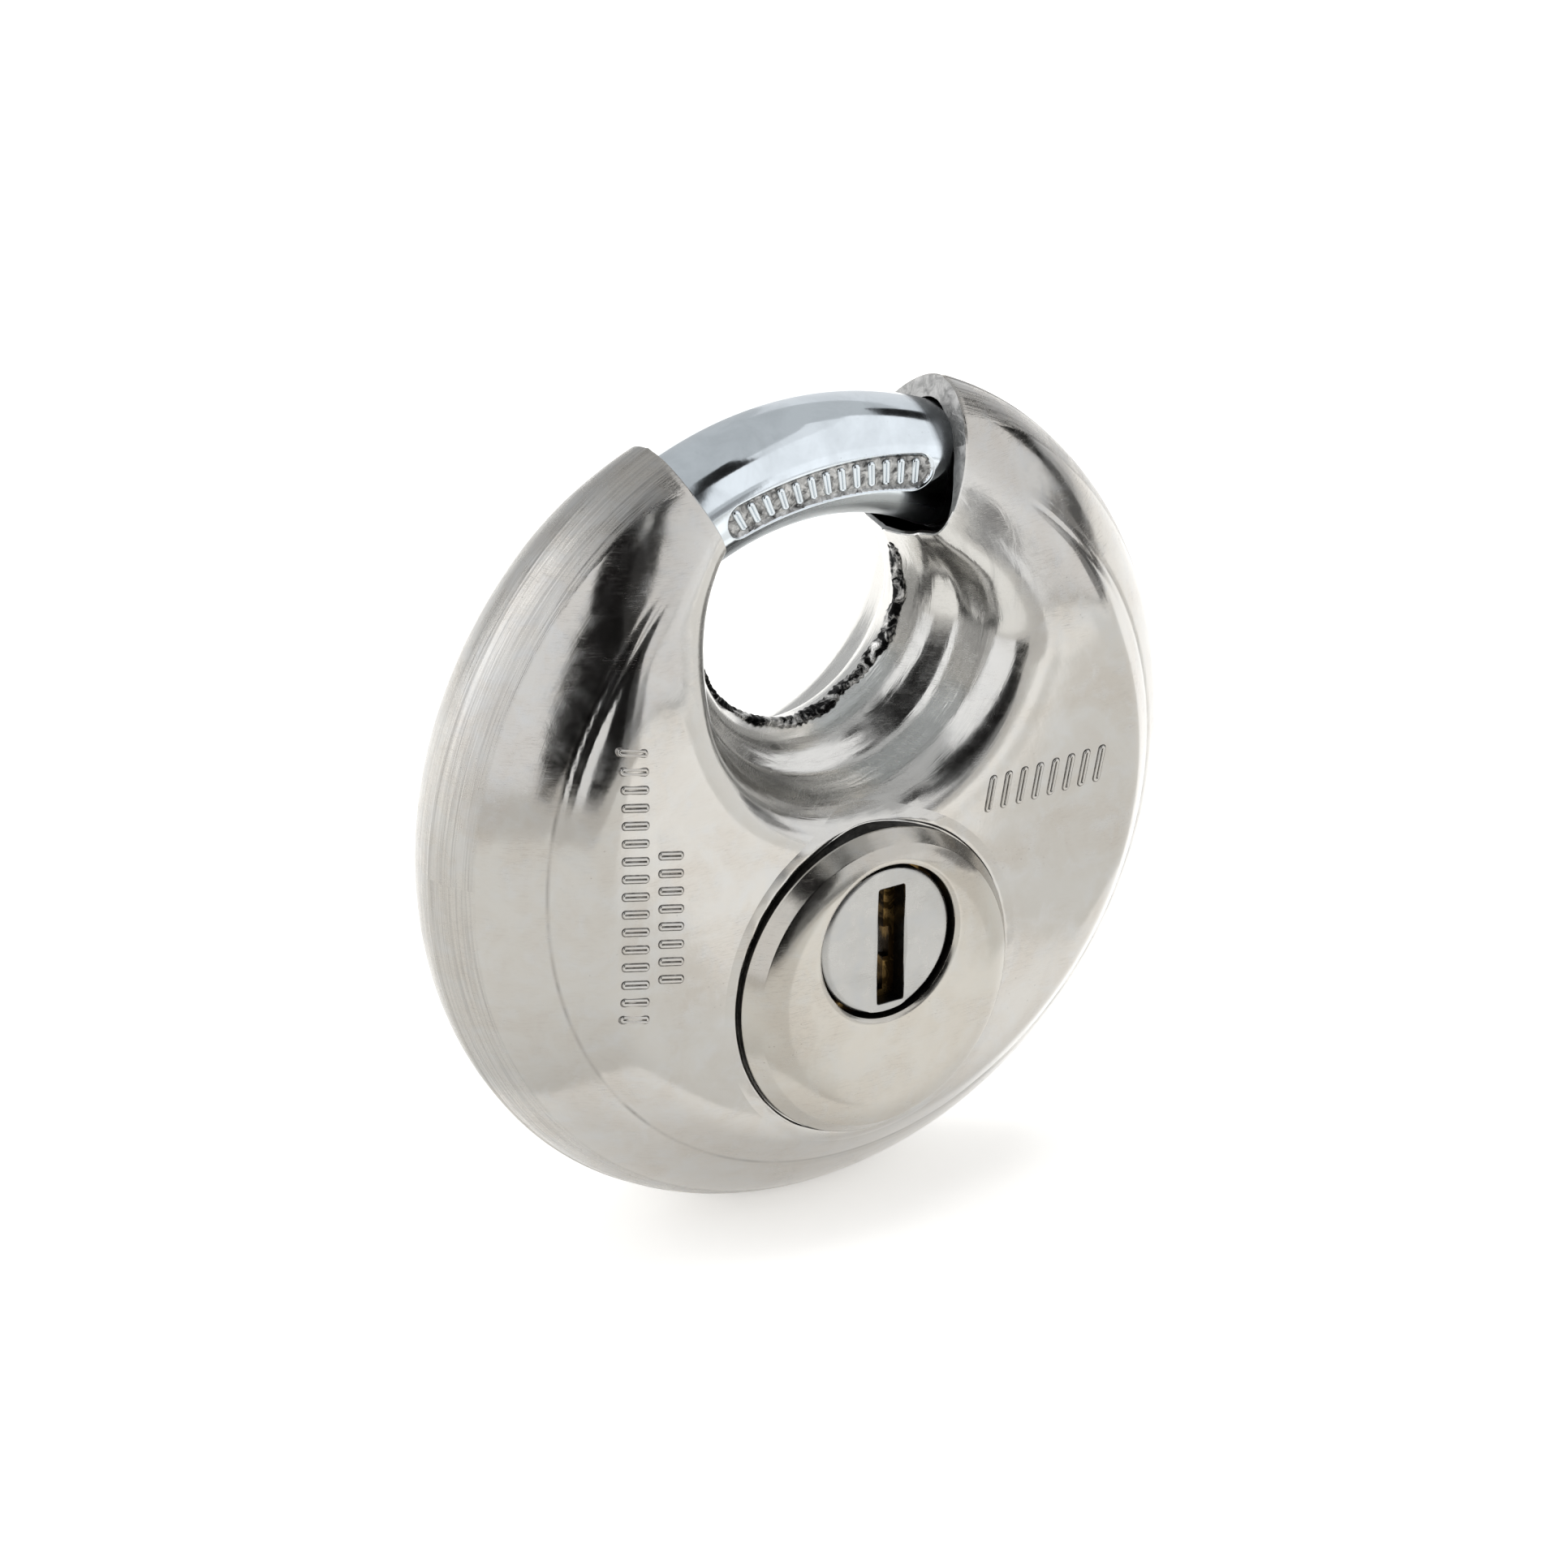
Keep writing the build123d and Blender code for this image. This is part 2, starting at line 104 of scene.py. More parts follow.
WALL = 1.4
WALL_AT_HOLE = 0.45
MOUTH_LIP = 0.5  # extra wall at the cut mouths
MOUTH_CHAMFER = 0.13
JOINT_GAP = 0.12  # between the guard and the case
EDGE_BREAK = 0.0011  # share of a ring's turn beside a mouth
CREASE_R = DISC_R - 5.6  # where the rim turns into the shoulder
CREASE_H = 8.57
FLAT_R = DISC_R - 10.0
RIM_POWER = 1.86
HOLE_Z = 15.75
HOLE_R = 10.0
CROWN_Z = 6.0  # above this the face falls back in an arc
CROWN_R = 45.0
CROWN_END = 30.0
MOUTH_RIGHT = math.radians(65.8)
MOUTH_LEFT = math.radians(114.0)
FULL_TURN = 2 * math.pi

# ---- small helpers ----


def blend_min(a, b, k):
    """The lower of two heights, rounded over where they meet."""
    gap = np.maximum(k - np.abs(a - b), 0.0) / k
    return np.minimum(a, b) - gap * gap * k / 4


def smooth_step(low, high, x):
    """Rises from 0 at low to 1 at high; falls if low is the larger."""
    t = np.clip((x - low) / (high - low), 0.0, 1.0)
    return t * t * (3 - 2 * t)


def curve_through(points):
    """A smooth function through a few (x, y) points."""
    xs = np.array([p[0] for p in points], float)
    ys = np.array([p[1] for p in points], float)
    slopes = np.gradient(ys, xs)

    def value(x):
        x = np.clip(x, xs[0], xs[-1])
        i = np.clip(np.searchsorted(xs, x) - 1, 0, len(xs) - 2)
        width = xs[i + 1] - xs[i]
        t = (x - xs[i]) / width
        a = (2 * t ** 3 - 3 * t ** 2 + 1) * ys[i] + (t ** 3 - 2 * t ** 2 + t) * width * slopes[i]
        b = (-2 * t ** 3 + 3 * t ** 2) * ys[i + 1] + (t ** 3 - t ** 2) * width * slopes[i + 1]
        return a + b

    return value


def in_frame(points):
    """Disc-centred millimetres (x, y, z) to frame metres."""
    placed = np.array(points, float).reshape(-1, 3) * MM
    placed[:, 2] += CENTRE_Z * MM
    return placed


def add_mesh(name, points, faces, material, smooth=True):
    """A new piece from disc-centred points."""
    mesh = bpy.data.meshes.new(name)
    mesh.from_pydata([tuple(p) for p in in_frame(points)], [], faces)
    mesh.validate()
    mesh.update()
    mesh.polygons.foreach_set("use_smooth", [smooth] * len(mesh.polygons))
    mesh.materials.append(material)
    piece = bpy.data.objects.new(name, mesh)
    bpy.context.scene.collection.objects.link(piece)
    return piece


def grid_faces(rows, columns, first=0, wrap=False, flip=False):
    """Four-sided faces of a grid of points, from its first point's number."""
    faces = []
    last = columns if wrap else columns - 1
    for i in range(rows - 1):
        for j in range(last):
            k = (j + 1) % columns
            quad = (first + i * columns + j, first + i * columns + k,
                    first + (i + 1) * columns + k, first + (i + 1) * columns + j)
            faces.append(quad[::-1] if flip else quad)
    return faces


def sharpen(piece, degrees):
    """Smooth shading that keeps edges sharper than an angle."""
    piece.data.shade_smooth()
    piece.data.set_sharp_from_angle(angle=math.radians(degrees))


def paint_faces(piece, material, faces):
    """Gives some of a piece's faces another material."""
    piece.data.materials.append(material)
    for index in faces:
        piece.data.polygons[index].material_index = len(piece.data.materials) - 1


def ring_faces(rows, columns):
    """Faces of a tube whose last loop joins back to its first."""
    last = (rows - 1) * columns
    return grid_faces(rows, columns, wrap=True) + [
        (j, last + j, last + (j + 1) % columns, (j + 1) % columns) for j in range(columns)]


def capped_faces(rows, columns, flip=False):
    """Faces of a tube with a flat face over each end."""
    last = (rows - 1) * columns
    caps = [tuple(range(columns - 1, -1, -1)), tuple(range(last, last + columns))]
    return grid_faces(rows, columns, wrap=True) + [cap[::-1] if flip else cap for cap in caps]


def circle(radius, steps):
    """Points (x, z) of a circle."""
    return [(radius * math.cos(FULL_TURN * i / steps), radius * math.sin(FULL_TURN * i / steps))
            for i in range(steps)]


def register(piece, body, slot, *nodes):
    """Puts a piece on its body and in place of CAD nodes; the slot is not used."""
    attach(piece, body)
    if nodes:
        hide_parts(*nodes)


def apply_modifiers(piece):
    graph = bpy.context.evaluated_depsgraph_get()
    mesh = bpy.data.meshes.new_from_object(piece.evaluated_get(graph))
    piece.modifiers.clear()
    piece.data = mesh


# ---- materials ----


class Nodes:
    """A few short ways to add shader nodes to a material."""

    def __init__(self, name):
        self.material = bpy.data.materials.new(name)
        self.material.use_nodes = True
        self.tree = self.material.node_tree
        self.shader = self.tree.nodes["Principled BSDF"]
        self.coords = self.tree.nodes.new("ShaderNodeTexCoord").outputs["Object"]

    def link(self, source, target):
        if hasattr(source, "is_output"):
            self.tree.links.new(source, target)
        else:
            target.default_value = source

    def math(self, operation, a, b=0.0, clamp=False):
        node = self.tree.nodes.new("ShaderNodeMath")
        node.operation = operation
        node.use_clamp = clamp
        self.link(a, node.inputs[0])
        self.link(b, node.inputs[1])
        return node.outputs[0]

    def product(self, a, b):
        return self.math("MULTIPLY", a, b)

    def added(self, a, b):
        return self.math("ADD", a, b, clamp=True)

    def reach(self, a, b):
        """Distance from the origin of the point (a, b)."""
        squares = self.math("ADD", self.math("POWER", a, 2.0), self.math("POWER", b, 2.0))
        return self.math("POWER", squares, 0.5)

    def vector(self, x, y, z):
        node = self.tree.nodes.new("ShaderNodeCombineXYZ")
        for value, socket in zip((x, y, z), node.inputs):
            self.link(value, socket)
        return node.outputs[0]

    def split(self, vector=None):
        node = self.tree.nodes.new("ShaderNodeSeparateXYZ")
        self.link(vector or self.coords, node.inputs[0])
        return node.outputs

    def scaled(self, scale, turn=(0, 0, 0), vector=None):
        node = self.tree.nodes.new("ShaderNodeMapping")
        node.inputs["Scale"].default_value = scale
        node.inputs["Rotation"].default_value = turn
        self.link(vector or self.coords, node.inputs["Vector"])
        return node.outputs[0]

    def noise(self, vector, scale, detail=3.0, rough=0.5, distortion=0.0):
        node = self.tree.nodes.new("ShaderNodeTexNoise")
        self.link(vector, node.inputs["Vector"])
        node.inputs["Scale"].default_value = scale
        node.inputs["Detail"].default_value = detail
        node.inputs["Roughness"].default_value = rough
        node.inputs["Distortion"].default_value = distortion
        return node.outputs["Fac"]

    def cells(self, vector, scale):
        node = self.tree.nodes.new("ShaderNodeTexVoronoi")
        self.link(vector, node.inputs["Vector"])
        node.inputs["Scale"].default_value = scale
        return node.outputs["Distance"]

    def ramp(self, value, stops):
        node = self.tree.nodes.new("ShaderNodeValToRGB")
        self.link(value, node.inputs[0])
        ramp = node.color_ramp
        while len(ramp.elements) < len(stops):
            ramp.elements.new(0.5)
        for element, (place, colour) in zip(ramp.elements, stops):
            element.position = place
            level = (colour,) * 3 if isinstance(colour, float) else colour
            element.color = (*level, 1.0)
        return node.outputs[0]

    def mix(self, fac, a, b):
        node = self.tree.nodes.new("ShaderNodeMix")
        node.data_type = "RGBA"
        self.link(fac, node.inputs["Factor"])
        self.link((*a, 1.0) if isinstance(a, tuple) else a, node.inputs["A"])
        self.link((*b, 1.0) if isinstance(b, tuple) else b, node.inputs["B"])
        return node.outputs["Result"]

    def bump(self, height, distance, strength=1.0, below=None):
        node = self.tree.nodes.new("ShaderNodeBump")
        node.inputs["Strength"].default_value = strength
        node.inputs["Distance"].default_value = distance
        self.link(height, node.inputs["Height"])
        if below is not None:
            self.link(below, node.inputs["Normal"])
        return node.outputs[0]

    def finish(self, colour, rough, normal=None, metallic=1.0):
        self.link(colour, self.shader.inputs["Base Color"])
        self.link(rough, self.shader.inputs["Roughness"])
        self.shader.inputs["Metallic"].default_value = metallic
        if normal is not None:
            self.link(normal, self.shader.inputs["Normal"])
        return self.material


PIT_STOPS = [(0.0, 1.0), (0.09, 0.0)]
NICK = (0.05, 0.045, 0.04)
SCRATCH = (0.27, 0.26, 0.24)
# Painted shade for the crease.
CREASE_SHADE = (0.10, 0.09, 0.08)
BRUSH_SHADE = (0.22, 0.215, 0.21)
# Painted sheen for the funnel round the hole.
FUNNEL_SHEEN = (0.66, 0.65, 0.625)
DRAWN_SHADE = (0.20, 0.195, 0.19)
PLATING_NICK = (0.04, 0.04, 0.045)
# Painted shade for the shackle's inner side and for its end inside the mouth.
PLATING_UNDERSIDE_SHADE = (0.10, 0.10, 0.11)
PLATING_MOUTH_SHADE = (0.02, 0.02, 0.022)


def hairlines(nodes, turns, finest, longest):
    """Fine straight scratches in a few directions, 1 where a scratch is; sizes in millimetres."""
    lines = 0.0
    for turn in turns:
        along, across = 1 / (longest * MM), 1 / (finest * MM)
        stretched = nodes.scaled((along, along, across), (0, turn, 0))
        streak = nodes.noise(stretched, 1.0, 2.0, 0.5, 0.2)
        lines = nodes.added(lines, nodes.ramp(streak, [(0.62, 0.0), (0.70, 1.0)]))
    return lines


def pits(nodes, scale, low, high):
    """Small pin-prick pits, 1 where a pit is."""
    prick = nodes.ramp(nodes.cells(nodes.coords, scale), PIT_STOPS)
    where = nodes.ramp(nodes.noise(nodes.coords, 160.0, 2.0), [(low, 0.0), (high, 1.0)])
    return nodes.product(prick, where)


def about_centre(nodes):
    """Coordinates in metres from the disc's centre."""
    x, y, z = nodes.split()
    return x, y, nodes.math("SUBTRACT", z, CENTRE_Z * MM)


def brushed_rim(nodes, wide, cloud, base, rough, normal):
    """Brush marks that run round the rim, and painted shade along the crease beside it, left off near the
    top.
    """
    x, y, z = about_centre(nodes)
    across = nodes.reach(x, z)
    around = nodes.vector(nodes.product(nodes.math("ARCTAN2", z, x), 2.6), nodes.product(y, 5200.0),
                          nodes.product(across, 3500.0))
    brush = nodes.noise(around, 1.0, 3.0, 0.6, 0.3)
    edge = nodes.math("ADD", nodes.product(nodes.math("ABSOLUTE", y), 100.0), nodes.product(cloud, 0.04))
    outside = nodes.ramp(nodes.product(across, 10.0), [(0.3, 0.0), (0.31, 1.0)])
    rim = nodes.product(nodes.ramp(edge, [(0.415, 1.0), (0.445, 0.0)]), outside)
    # Painted shade: a dark line along the crease, patchy and left off near the top.
    off_crease = nodes.math("ABSOLUTE", nodes.math("SUBTRACT", across, (CREASE_R + 0.05) * MM))
    crease = nodes.ramp(nodes.product(off_crease, 2500.0), [(0.0, 1.0), (0.5, 0.0)])
    crease = nodes.product(crease, nodes.ramp(wide, [(0.30, 0.85), (0.60, 0.15)]))
    crease = nodes.product(crease, nodes.ramp(nodes.product(z, 10.0), [(0.15, 1.0), (0.20, 0.0)]))
    base = nodes.mix(nodes.product(crease, 0.75), base, CREASE_SHADE)
    base = nodes.mix(nodes.product(nodes.ramp(brush, [(0.45, 0.0), (0.72, 0.50)]), rim), base, BRUSH_SHADE)
    rough = nodes.added(rough, nodes.product(rim, 0.13))
    height = nodes.product(brush, nodes.math("ADD", nodes.product(rim, 0.96), 0.04))
    return base, rough, nodes.bump(height, 0.00005, 1.0, normal)


def drawn_funnel(nodes, base, rough, normal):
    """Metal drawn thin round the hole, with flow marks, and a painted sheen that lightens its colour there.
    """
    x, y, z = about_centre(nodes)
    up = nodes.math("SUBTRACT", z, HOLE_Z * MM)
    from_hole = nodes.reach(x, up)
    funnel = nodes.ramp(nodes.product(from_hole, 10.0), [(0.135, 1.0), (0.185, 0.0)])
    flow = nodes.vector(nodes.product(nodes.math("ARCTAN2", up, x), 2.2), nodes.product(y, 1100.0),
                        nodes.product(from_hole, 1100.0))
    drawn = nodes.noise(flow, 1.0, 3.0, 0.6, 0.5)
    rough = nodes.added(rough, nodes.product(funnel, 0.07))
    normal = nodes.bump(nodes.product(drawn, funnel), 0.000035, 1.0, normal)
    # Painted sheen: the colour round the hole is lightened towards a bright grey.
    base = nodes.mix(nodes.product(funnel, 0.85), base, FUNNEL_SHEEN)
    worn = nodes.product(nodes.ramp(drawn, [(0.55, 0.0), (0.8, 0.35)]), funnel)
    return nodes.mix(worn, base, DRAWN_SHADE), rough, normal


def stainless(name, colour, stain, rough_low, rough_high, pressed=False):
    """Polished stainless with faint stains, hairlines and pits; the pressed case has more."""
    nodes = Nodes(name)
    wide = nodes.noise(nodes.coords, 170.0, 5.0, 0.62, 0.8)
    cloud = nodes.noise(nodes.coords, 520.0, 4.0, 0.6, 0.5)
    fine = nodes.noise(nodes.coords, 2600.0, 3.0, 0.6)
    base = nodes.mix(nodes.ramp(wide, [(0.40, 0.0), (0.66, 1.0)]), colour, stain)
    cool = (colour[0] * 1.02, colour[1] * 1.07, colour[2] * 1.15)
    base = nodes.mix(nodes.ramp(cloud, [(0.48, 0.0), (0.70, 0.40)]), base, cool)
    lines = hairlines(nodes, (0.35, 1.1, 1.9, 2.7), 0.05, 1.1)
    lines = nodes.product(lines, nodes.ramp(wide, [(0.42, 0.15), (0.62, 1.0)]))
    pricks = pits(nodes, 1500.0, 0.55, 0.63)
    base = nodes.mix(nodes.product(pricks, 0.8), base, NICK)
    base = nodes.mix(nodes.product(lines, 0.20), base, SCRATCH)
    rough = nodes.ramp(cloud, [(0.35, rough_low), (0.65, rough_high)])
    rough = nodes.added(rough, nodes.product(lines, 0.14))
    dents = nodes.noise(nodes.coords, 230.0, 2.0, 0.5)
    normal = nodes.bump(dents, 0.00005, 0.6)
    normal = nodes.bump(cloud, 0.00001, 0.5, normal)
    normal = nodes.bump(fine, 0.000003, 0.5, normal)
    normal = nodes.bump(lines, 0.000006, -0.5, normal)
    normal = nodes.bump(pricks, 0.00005, -0.8, normal)
    if pressed:
        base, rough, normal = brushed_rim(nodes, wide, cloud, base, rough, normal)
        base, rough, normal = drawn_funnel(nodes, base, rough, normal)
    return nodes.finish(base, rough, normal)


def plated(name, colour, mouth_shade_from):
    """Bright plating with a faint haze and nicks; painted shade darkens the ring's inner side and the end
    that runs into the mouth, which are also rougher.
    """
    nodes = Nodes(name)
    haze = nodes.noise(nodes.coords, 300.0, 4.0, 0.6, 0.4)
    fine = nodes.noise(nodes.coords, 1800.0, 2.0, 0.5)
    base = nodes.mix(nodes.ramp(haze, [(0.4, 0.0), (0.7, 1.0)]), colour, tuple(c * 0.86 for c in colour))
    pricks = pits(nodes, 1800.0, 0.54, 0.62)
    base = nodes.mix(nodes.product(pricks, 0.8), base, PLATING_NICK)
    lines = hairlines(nodes, (0.9, 2.2), 0.06, 1.5)
    x, y, z = about_centre(nodes)
    # Painted shade: the ring's inner side is darkened.
    inner = nodes.math("ADD", nodes.product(nodes.reach(x, z), 10.0), nodes.product(haze, 0.006))
    inner = nodes.ramp(inner, [(0.250, 1.0), (0.264, 0.0)])
    base = nodes.mix(nodes.product(inner, 0.30), base, PLATING_UNDERSIDE_SHADE)
    # Painted shade: the end of the bar that runs into the right mouth is darkened almost to black.
    edge = nodes.math("ADD", nodes.product(x, 10.0), nodes.product(z, 0.78))
    edge = nodes.math("ADD", edge, nodes.product(haze, 0.004))
    end = nodes.ramp(edge, [(mouth_shade_from / 100, 0.0), (mouth_shade_from / 100 + 0.004, 1.0)])
    base = nodes.mix(nodes.product(end, 0.72), base, PLATING_MOUTH_SHADE)
    rough = nodes.ramp(haze, [(0.35, 0.07), (0.7, 0.16)])
    rough = nodes.added(rough, nodes.product(end, 0.18))
    rough = nodes.added(rough, nodes.product(inner, 0.22))
    normal = nodes.bump(fine, 0.000004, 0.5)
    normal = nodes.bump(lines, 0.000006, -0.4, normal)
    normal = nodes.bump(pricks, 0.00004, -0.8, normal)
    return nodes.finish(base, rough, normal)


def rough_metal(name, dark, light, grain, rough_low, rough_high, depth, split=(0.35, 0.6)):
    """Cast, rolled or fused metal: mottled colour, uneven roughness and grain."""
    nodes = Nodes(name)
    mottle = nodes.noise(nodes.coords, grain, 5.0, 0.65, 0.8)
    base = nodes.mix(nodes.ramp(mottle, [(split[0], 0.0), (split[1], 1.0)]), dark, light)
    rough = nodes.ramp(mottle, [(0.3, rough_high), (0.7, rough_low)])
    return nodes.finish(base, rough, nodes.bump(mottle, depth, 0.8))


def brass(name, colour):
    """Turned brass: fine rings about the plug's axis, and patches darkened to a tenth, tarnish and painted
    shade.
    """
    nodes = Nodes(name)
    y = nodes.split()[1]
    rings = nodes.noise(nodes.vector(nodes.product(y, 30.0), 0.0, 0.0), 120.0, 3.0, 0.6)
    tarnish = nodes.noise(nodes.coords, 420.0, 4.0, 0.6, 1.0)
    # Tarnish and painted shade: patches darkened to a tenth of the colour.
    dull = (colour[0] * 0.10, colour[1] * 0.09, colour[2] * 0.08)
    base = nodes.mix(nodes.ramp(tarnish, [(0.40, 0.0), (0.54, 1.0)]), colour, dull)
    rough = nodes.ramp(tarnish, [(0.35, 0.22), (0.65, 0.5)])
    normal = nodes.bump(rings, 0.00002, 0.5)
    return nodes.finish(base, rough, nodes.bump(tarnish, 0.00006, 0.6, normal))


CASE_STEEL = stainless("case_stainless", (0.485, 0.472, 0.446), (0.462, 0.436, 0.400),
                       0.10, 0.19, pressed=True)
GUARD_STEEL = stainless("guard_stainless", (0.45, 0.43, 0.39), (0.425, 0.395, 0.35), 0.12, 0.21)
PLUG_STEEL = stainless("plug_face_steel", (0.41, 0.405, 0.39), (0.37, 0.365, 0.35), 0.24, 0.36)
CHROME = plated("shackle_plating", (0.68, 0.73, 0.765), 13.15)
# Painted shade: the plug's brass is made dark so the keyway and the plug's surround read dark.
BRASS = brass("turned_brass_shaded", (0.33, 0.21, 0.075))
PIN_BRASS = brass("pin_brass", (0.76, 0.54, 0.24))

# Dark and light colour, grain per metre, lowest and highest roughness, and depth in metres.
# Painted shade: near-black walls for gaps and recesses between parts.
GAP_SHADE = rough_metal("gap_shade", (0.010, 0.010, 0.010), (0.035, 0.033, 0.03), 900.0, 0.4, 0.6, 0.00005)
# Painted shade round the foot of the raised strokes.
PAINTED_STROKE_SHADE = rough_metal("stroke_shade", (0.07, 0.065, 0.06), (0.22, 0.21, 0.195), 1400.0, 0.25, 0.4, 0.00003)
CUT_EDGE = rough_metal("cut_edge", (0.20, 0.20, 0.195), (0.38, 0.375, 0.365), 900.0, 0.34, 0.5,
                       0.0001, (0.32, 0.60))
# Painted shade: the case's inner face, near-black.
CASE_INSIDE_SHADE = rough_metal("case_inside_shade", (0.02, 0.02, 0.02), (0.07, 0.065, 0.06), 800.0, 0.45, 0.7, 0.0001)
SLOT_METAL = rough_metal("panel_floor", (0.06, 0.06, 0.06), (0.50, 0.50, 0.49), 1300.0, 0.22, 0.45, 0.0001)
WELD = rough_metal("weld_bead", (0.006, 0.006, 0.006), (0.62, 0.61, 0.59), 750.0, 0.16, 0.6,
                   0.0004, (0.47, 0.62))
# Painted shade: the cast zinc body inside the case is darkened almost to black.
SHADED_ZINC = rough_metal("cast_zinc", (0.06, 0.062, 0.066), (0.15, 0.155, 0.16), 700.0, 0.4, 0.65, 0.0001)
DARK_STEEL = rough_metal("hardened_steel", (0.16, 0.16, 0.17), (0.30, 0.30, 0.31), 1200.0, 0.3, 0.5, 0.00003)
SCREW_STEEL = rough_metal("screw_steel", (0.40, 0.40, 0.41), (0.56, 0.56, 0.57), 1200.0, 0.25, 0.4, 0.00003)

NODE_METALS = {
    "plug": BRASS, "cylinder_housing": BRASS, "chamber_cover": BRASS, "inner_body": SHADED_ZINC,
    "housing_screw": SCREW_STEEL, "plate_screws": SCREW_STEEL, "rack_rivets": SCREW_STEEL,
    "back_plate": DARK_STEEL, "shackle_stop": DARK_STEEL, "drill_pins": DARK_STEEL,
    "drive_sector": DARK_STEEL, "shackle_rack": DARK_STEEL, "tail_clip": DARK_STEEL,
}


def dress_nodes():
    """Gives every CAD node that stays its own metal."""
    for name, node in frame["nodes"].items():
        metal = NODE_METALS.get(name)
        if name.startswith("key_pin"):
            metal = PIN_BRASS
        if name.startswith(("driver_pin", "pin_spring")):
            metal = SCREW_STEEL
        if metal is None:
            continue
        for place in node.material_slots:
            place.material = metal


# ---- the case's surface ----

CUTTER_STEPS = 160
CUT_BELOW, CUT_ABOVE = 1.0, 2.0  # past the guard's foot and its top
HOLE_WALL = curve_through((
    (10.0, 0.0), (10.3, 0.9), (10.75, 2.1), (11.5, 3.3), (12.5, 4.2), (13.25, 5.0),
    (13.7, 6.2), (14.05, 7.5), (14.8, 9.0), (15.9, 10.4), (17.4, 11.3), (19.5, FACE_H), (60.0, FACE_H)))
PULL_IN = curve_through(((0.0, 0.5), (0.04, 0.85), (0.08, 1.25), (0.17, 1.15),
                         (0.27, 0.3), (0.34, 0.0), (1.0, 0.0)))
BESIDE_MOUTH = ((-14.0, 34.0), (100.0, 80.0))  # degrees about the hole, rising then falling
PULL_BESIDE = ((2.0, 34.0), (100.0, 80.0))
FOLDS = ((math.radians(40.0), math.radians(13.0)), (math.radians(148.0), math.radians(22.0)))
FOLD_R = 28.6
FOLD_DEPTH = 0.16
FOLD_WIDTH = 0.24
CREASE_DEPTH = 0.10
CREASE_WIDTH = 0.22
TOP_FROM, TOP_TO = 17.0, 25.0
SHOULDER_ROUND = (0.9, 2.6)  # everywhere, and added near the top
HOLE_ROUND = (1.6, 4.4)  # everywhere, and added near the mouths
DIP_AT = (9.6, 21.5)
DIP_SIZE = 2.6
DIP_DEPTH = 0.9


def rim_height(r):
    """Height of the outer shoulder: rim, crease, then the turn into the flat face."""
    reach = np.clip((DISC_R - r) / (DISC_R - CREASE_R), 0.0, 1.0)
    rim = CREASE_H * reach ** (1 / RIM_POWER)
    turn = np.clip((CREASE_R - r) / (CREASE_R - FLAT_R), 0.0, 1.0)
    rise = 1.25 * turn + 0.5 * turn ** 2 - 0.75 * turn ** 3
    return rim + (FACE_H - CREASE_H) * rise


def crown_height(z):
    """Height of the face, which falls back in an arc towards the shackle."""
    rise = np.clip(z - CROWN_Z, 0.0, CROWN_END)
    return FACE_H - CROWN_R + np.sqrt(CROWN_R ** 2 - rise ** 2)


def beside(lift, limits):
    """1 between two angles about the hole, fading to 0 outside them."""
    (rise_from, rise_to), (fall_from, fall_to) = limits
    return smooth_step(rise_from, rise_to, lift) * smooth_step(fall_from, fall_to, lift)


def hole_height(x, z):
    """Height of the hole's flared wall, which is steeper beside the shackle."""
    distance = np.hypot(x, z - HOLE_Z)
    steep = 1.0 + beside(np.degrees(np.arctan2(z - HOLE_Z, x)), BESIDE_MOUTH)
    return HOLE_WALL(HOLE_R + np.maximum(distance - HOLE_R, 0.0) * steep)


def case_height(x, z):
    """Height of the case over the seam plane, with its dip, crease and small folds."""
    r = np.hypot(x, z)
    polar = np.arctan2(z, x)
    near_top = smooth_step(TOP_FROM, TOP_TO, z)
    shoulder = blend_min(rim_height(r), crown_height(z), SHOULDER_ROUND[0] + SHOULDER_ROUND[1] * near_top)
    from_dip = (x - DIP_AT[0]) ** 2 + (z - DIP_AT[1]) ** 2
    shoulder = shoulder - DIP_DEPTH * np.exp(-from_dip / (2 * DIP_SIZE ** 2))
    near_mouth = smooth_step(6.0, 12.0, np.abs(x)) * smooth_step(10.0, 22.0, z)
    height = blend_min(shoulder, hole_height(x, z), HOLE_ROUND[0] + HOLE_ROUND[1] * near_mouth)
    crease = CREASE_DEPTH * (1 - near_top)
    height = height - crease * np.exp(-((r - CREASE_R) / CREASE_WIDTH) ** 2)
    for middle, half in FOLDS:
        along = np.clip(1 - ((polar - middle) / half) ** 2, 0.0, 1.0)
        height = height - FOLD_DEPTH * along * np.exp(-((r - FOLD_R) / FOLD_WIDTH) ** 2)
    return np.maximum(height, 0.0)


def case_height_at(x, z):
    return float(case_height(np.array(x), np.array(z)))


def case_rings(t):
    """Centre height and radius of the ring at t, from the hole (0) to the rim (1)."""
    return HOLE_Z * (1 - t), HOLE_R + (DISC_R - HOLE_R) * t


def pull_in(t, x, z):
    """How far the hole's wall closes in beside the right mouth, fading out away from it."""
    return PULL_IN(t) * beside(np.degrees(np.arctan2(z - HOLE_Z, x)), PULL_BESIDE)


def mouth_turn(mouth, centre, radius):
    """Angle on a ring, about its own centre, at which it meets a mouth's plane."""
    return mouth - np.arcsin(np.clip(centre * math.cos(mouth) / radius, -1, 1))


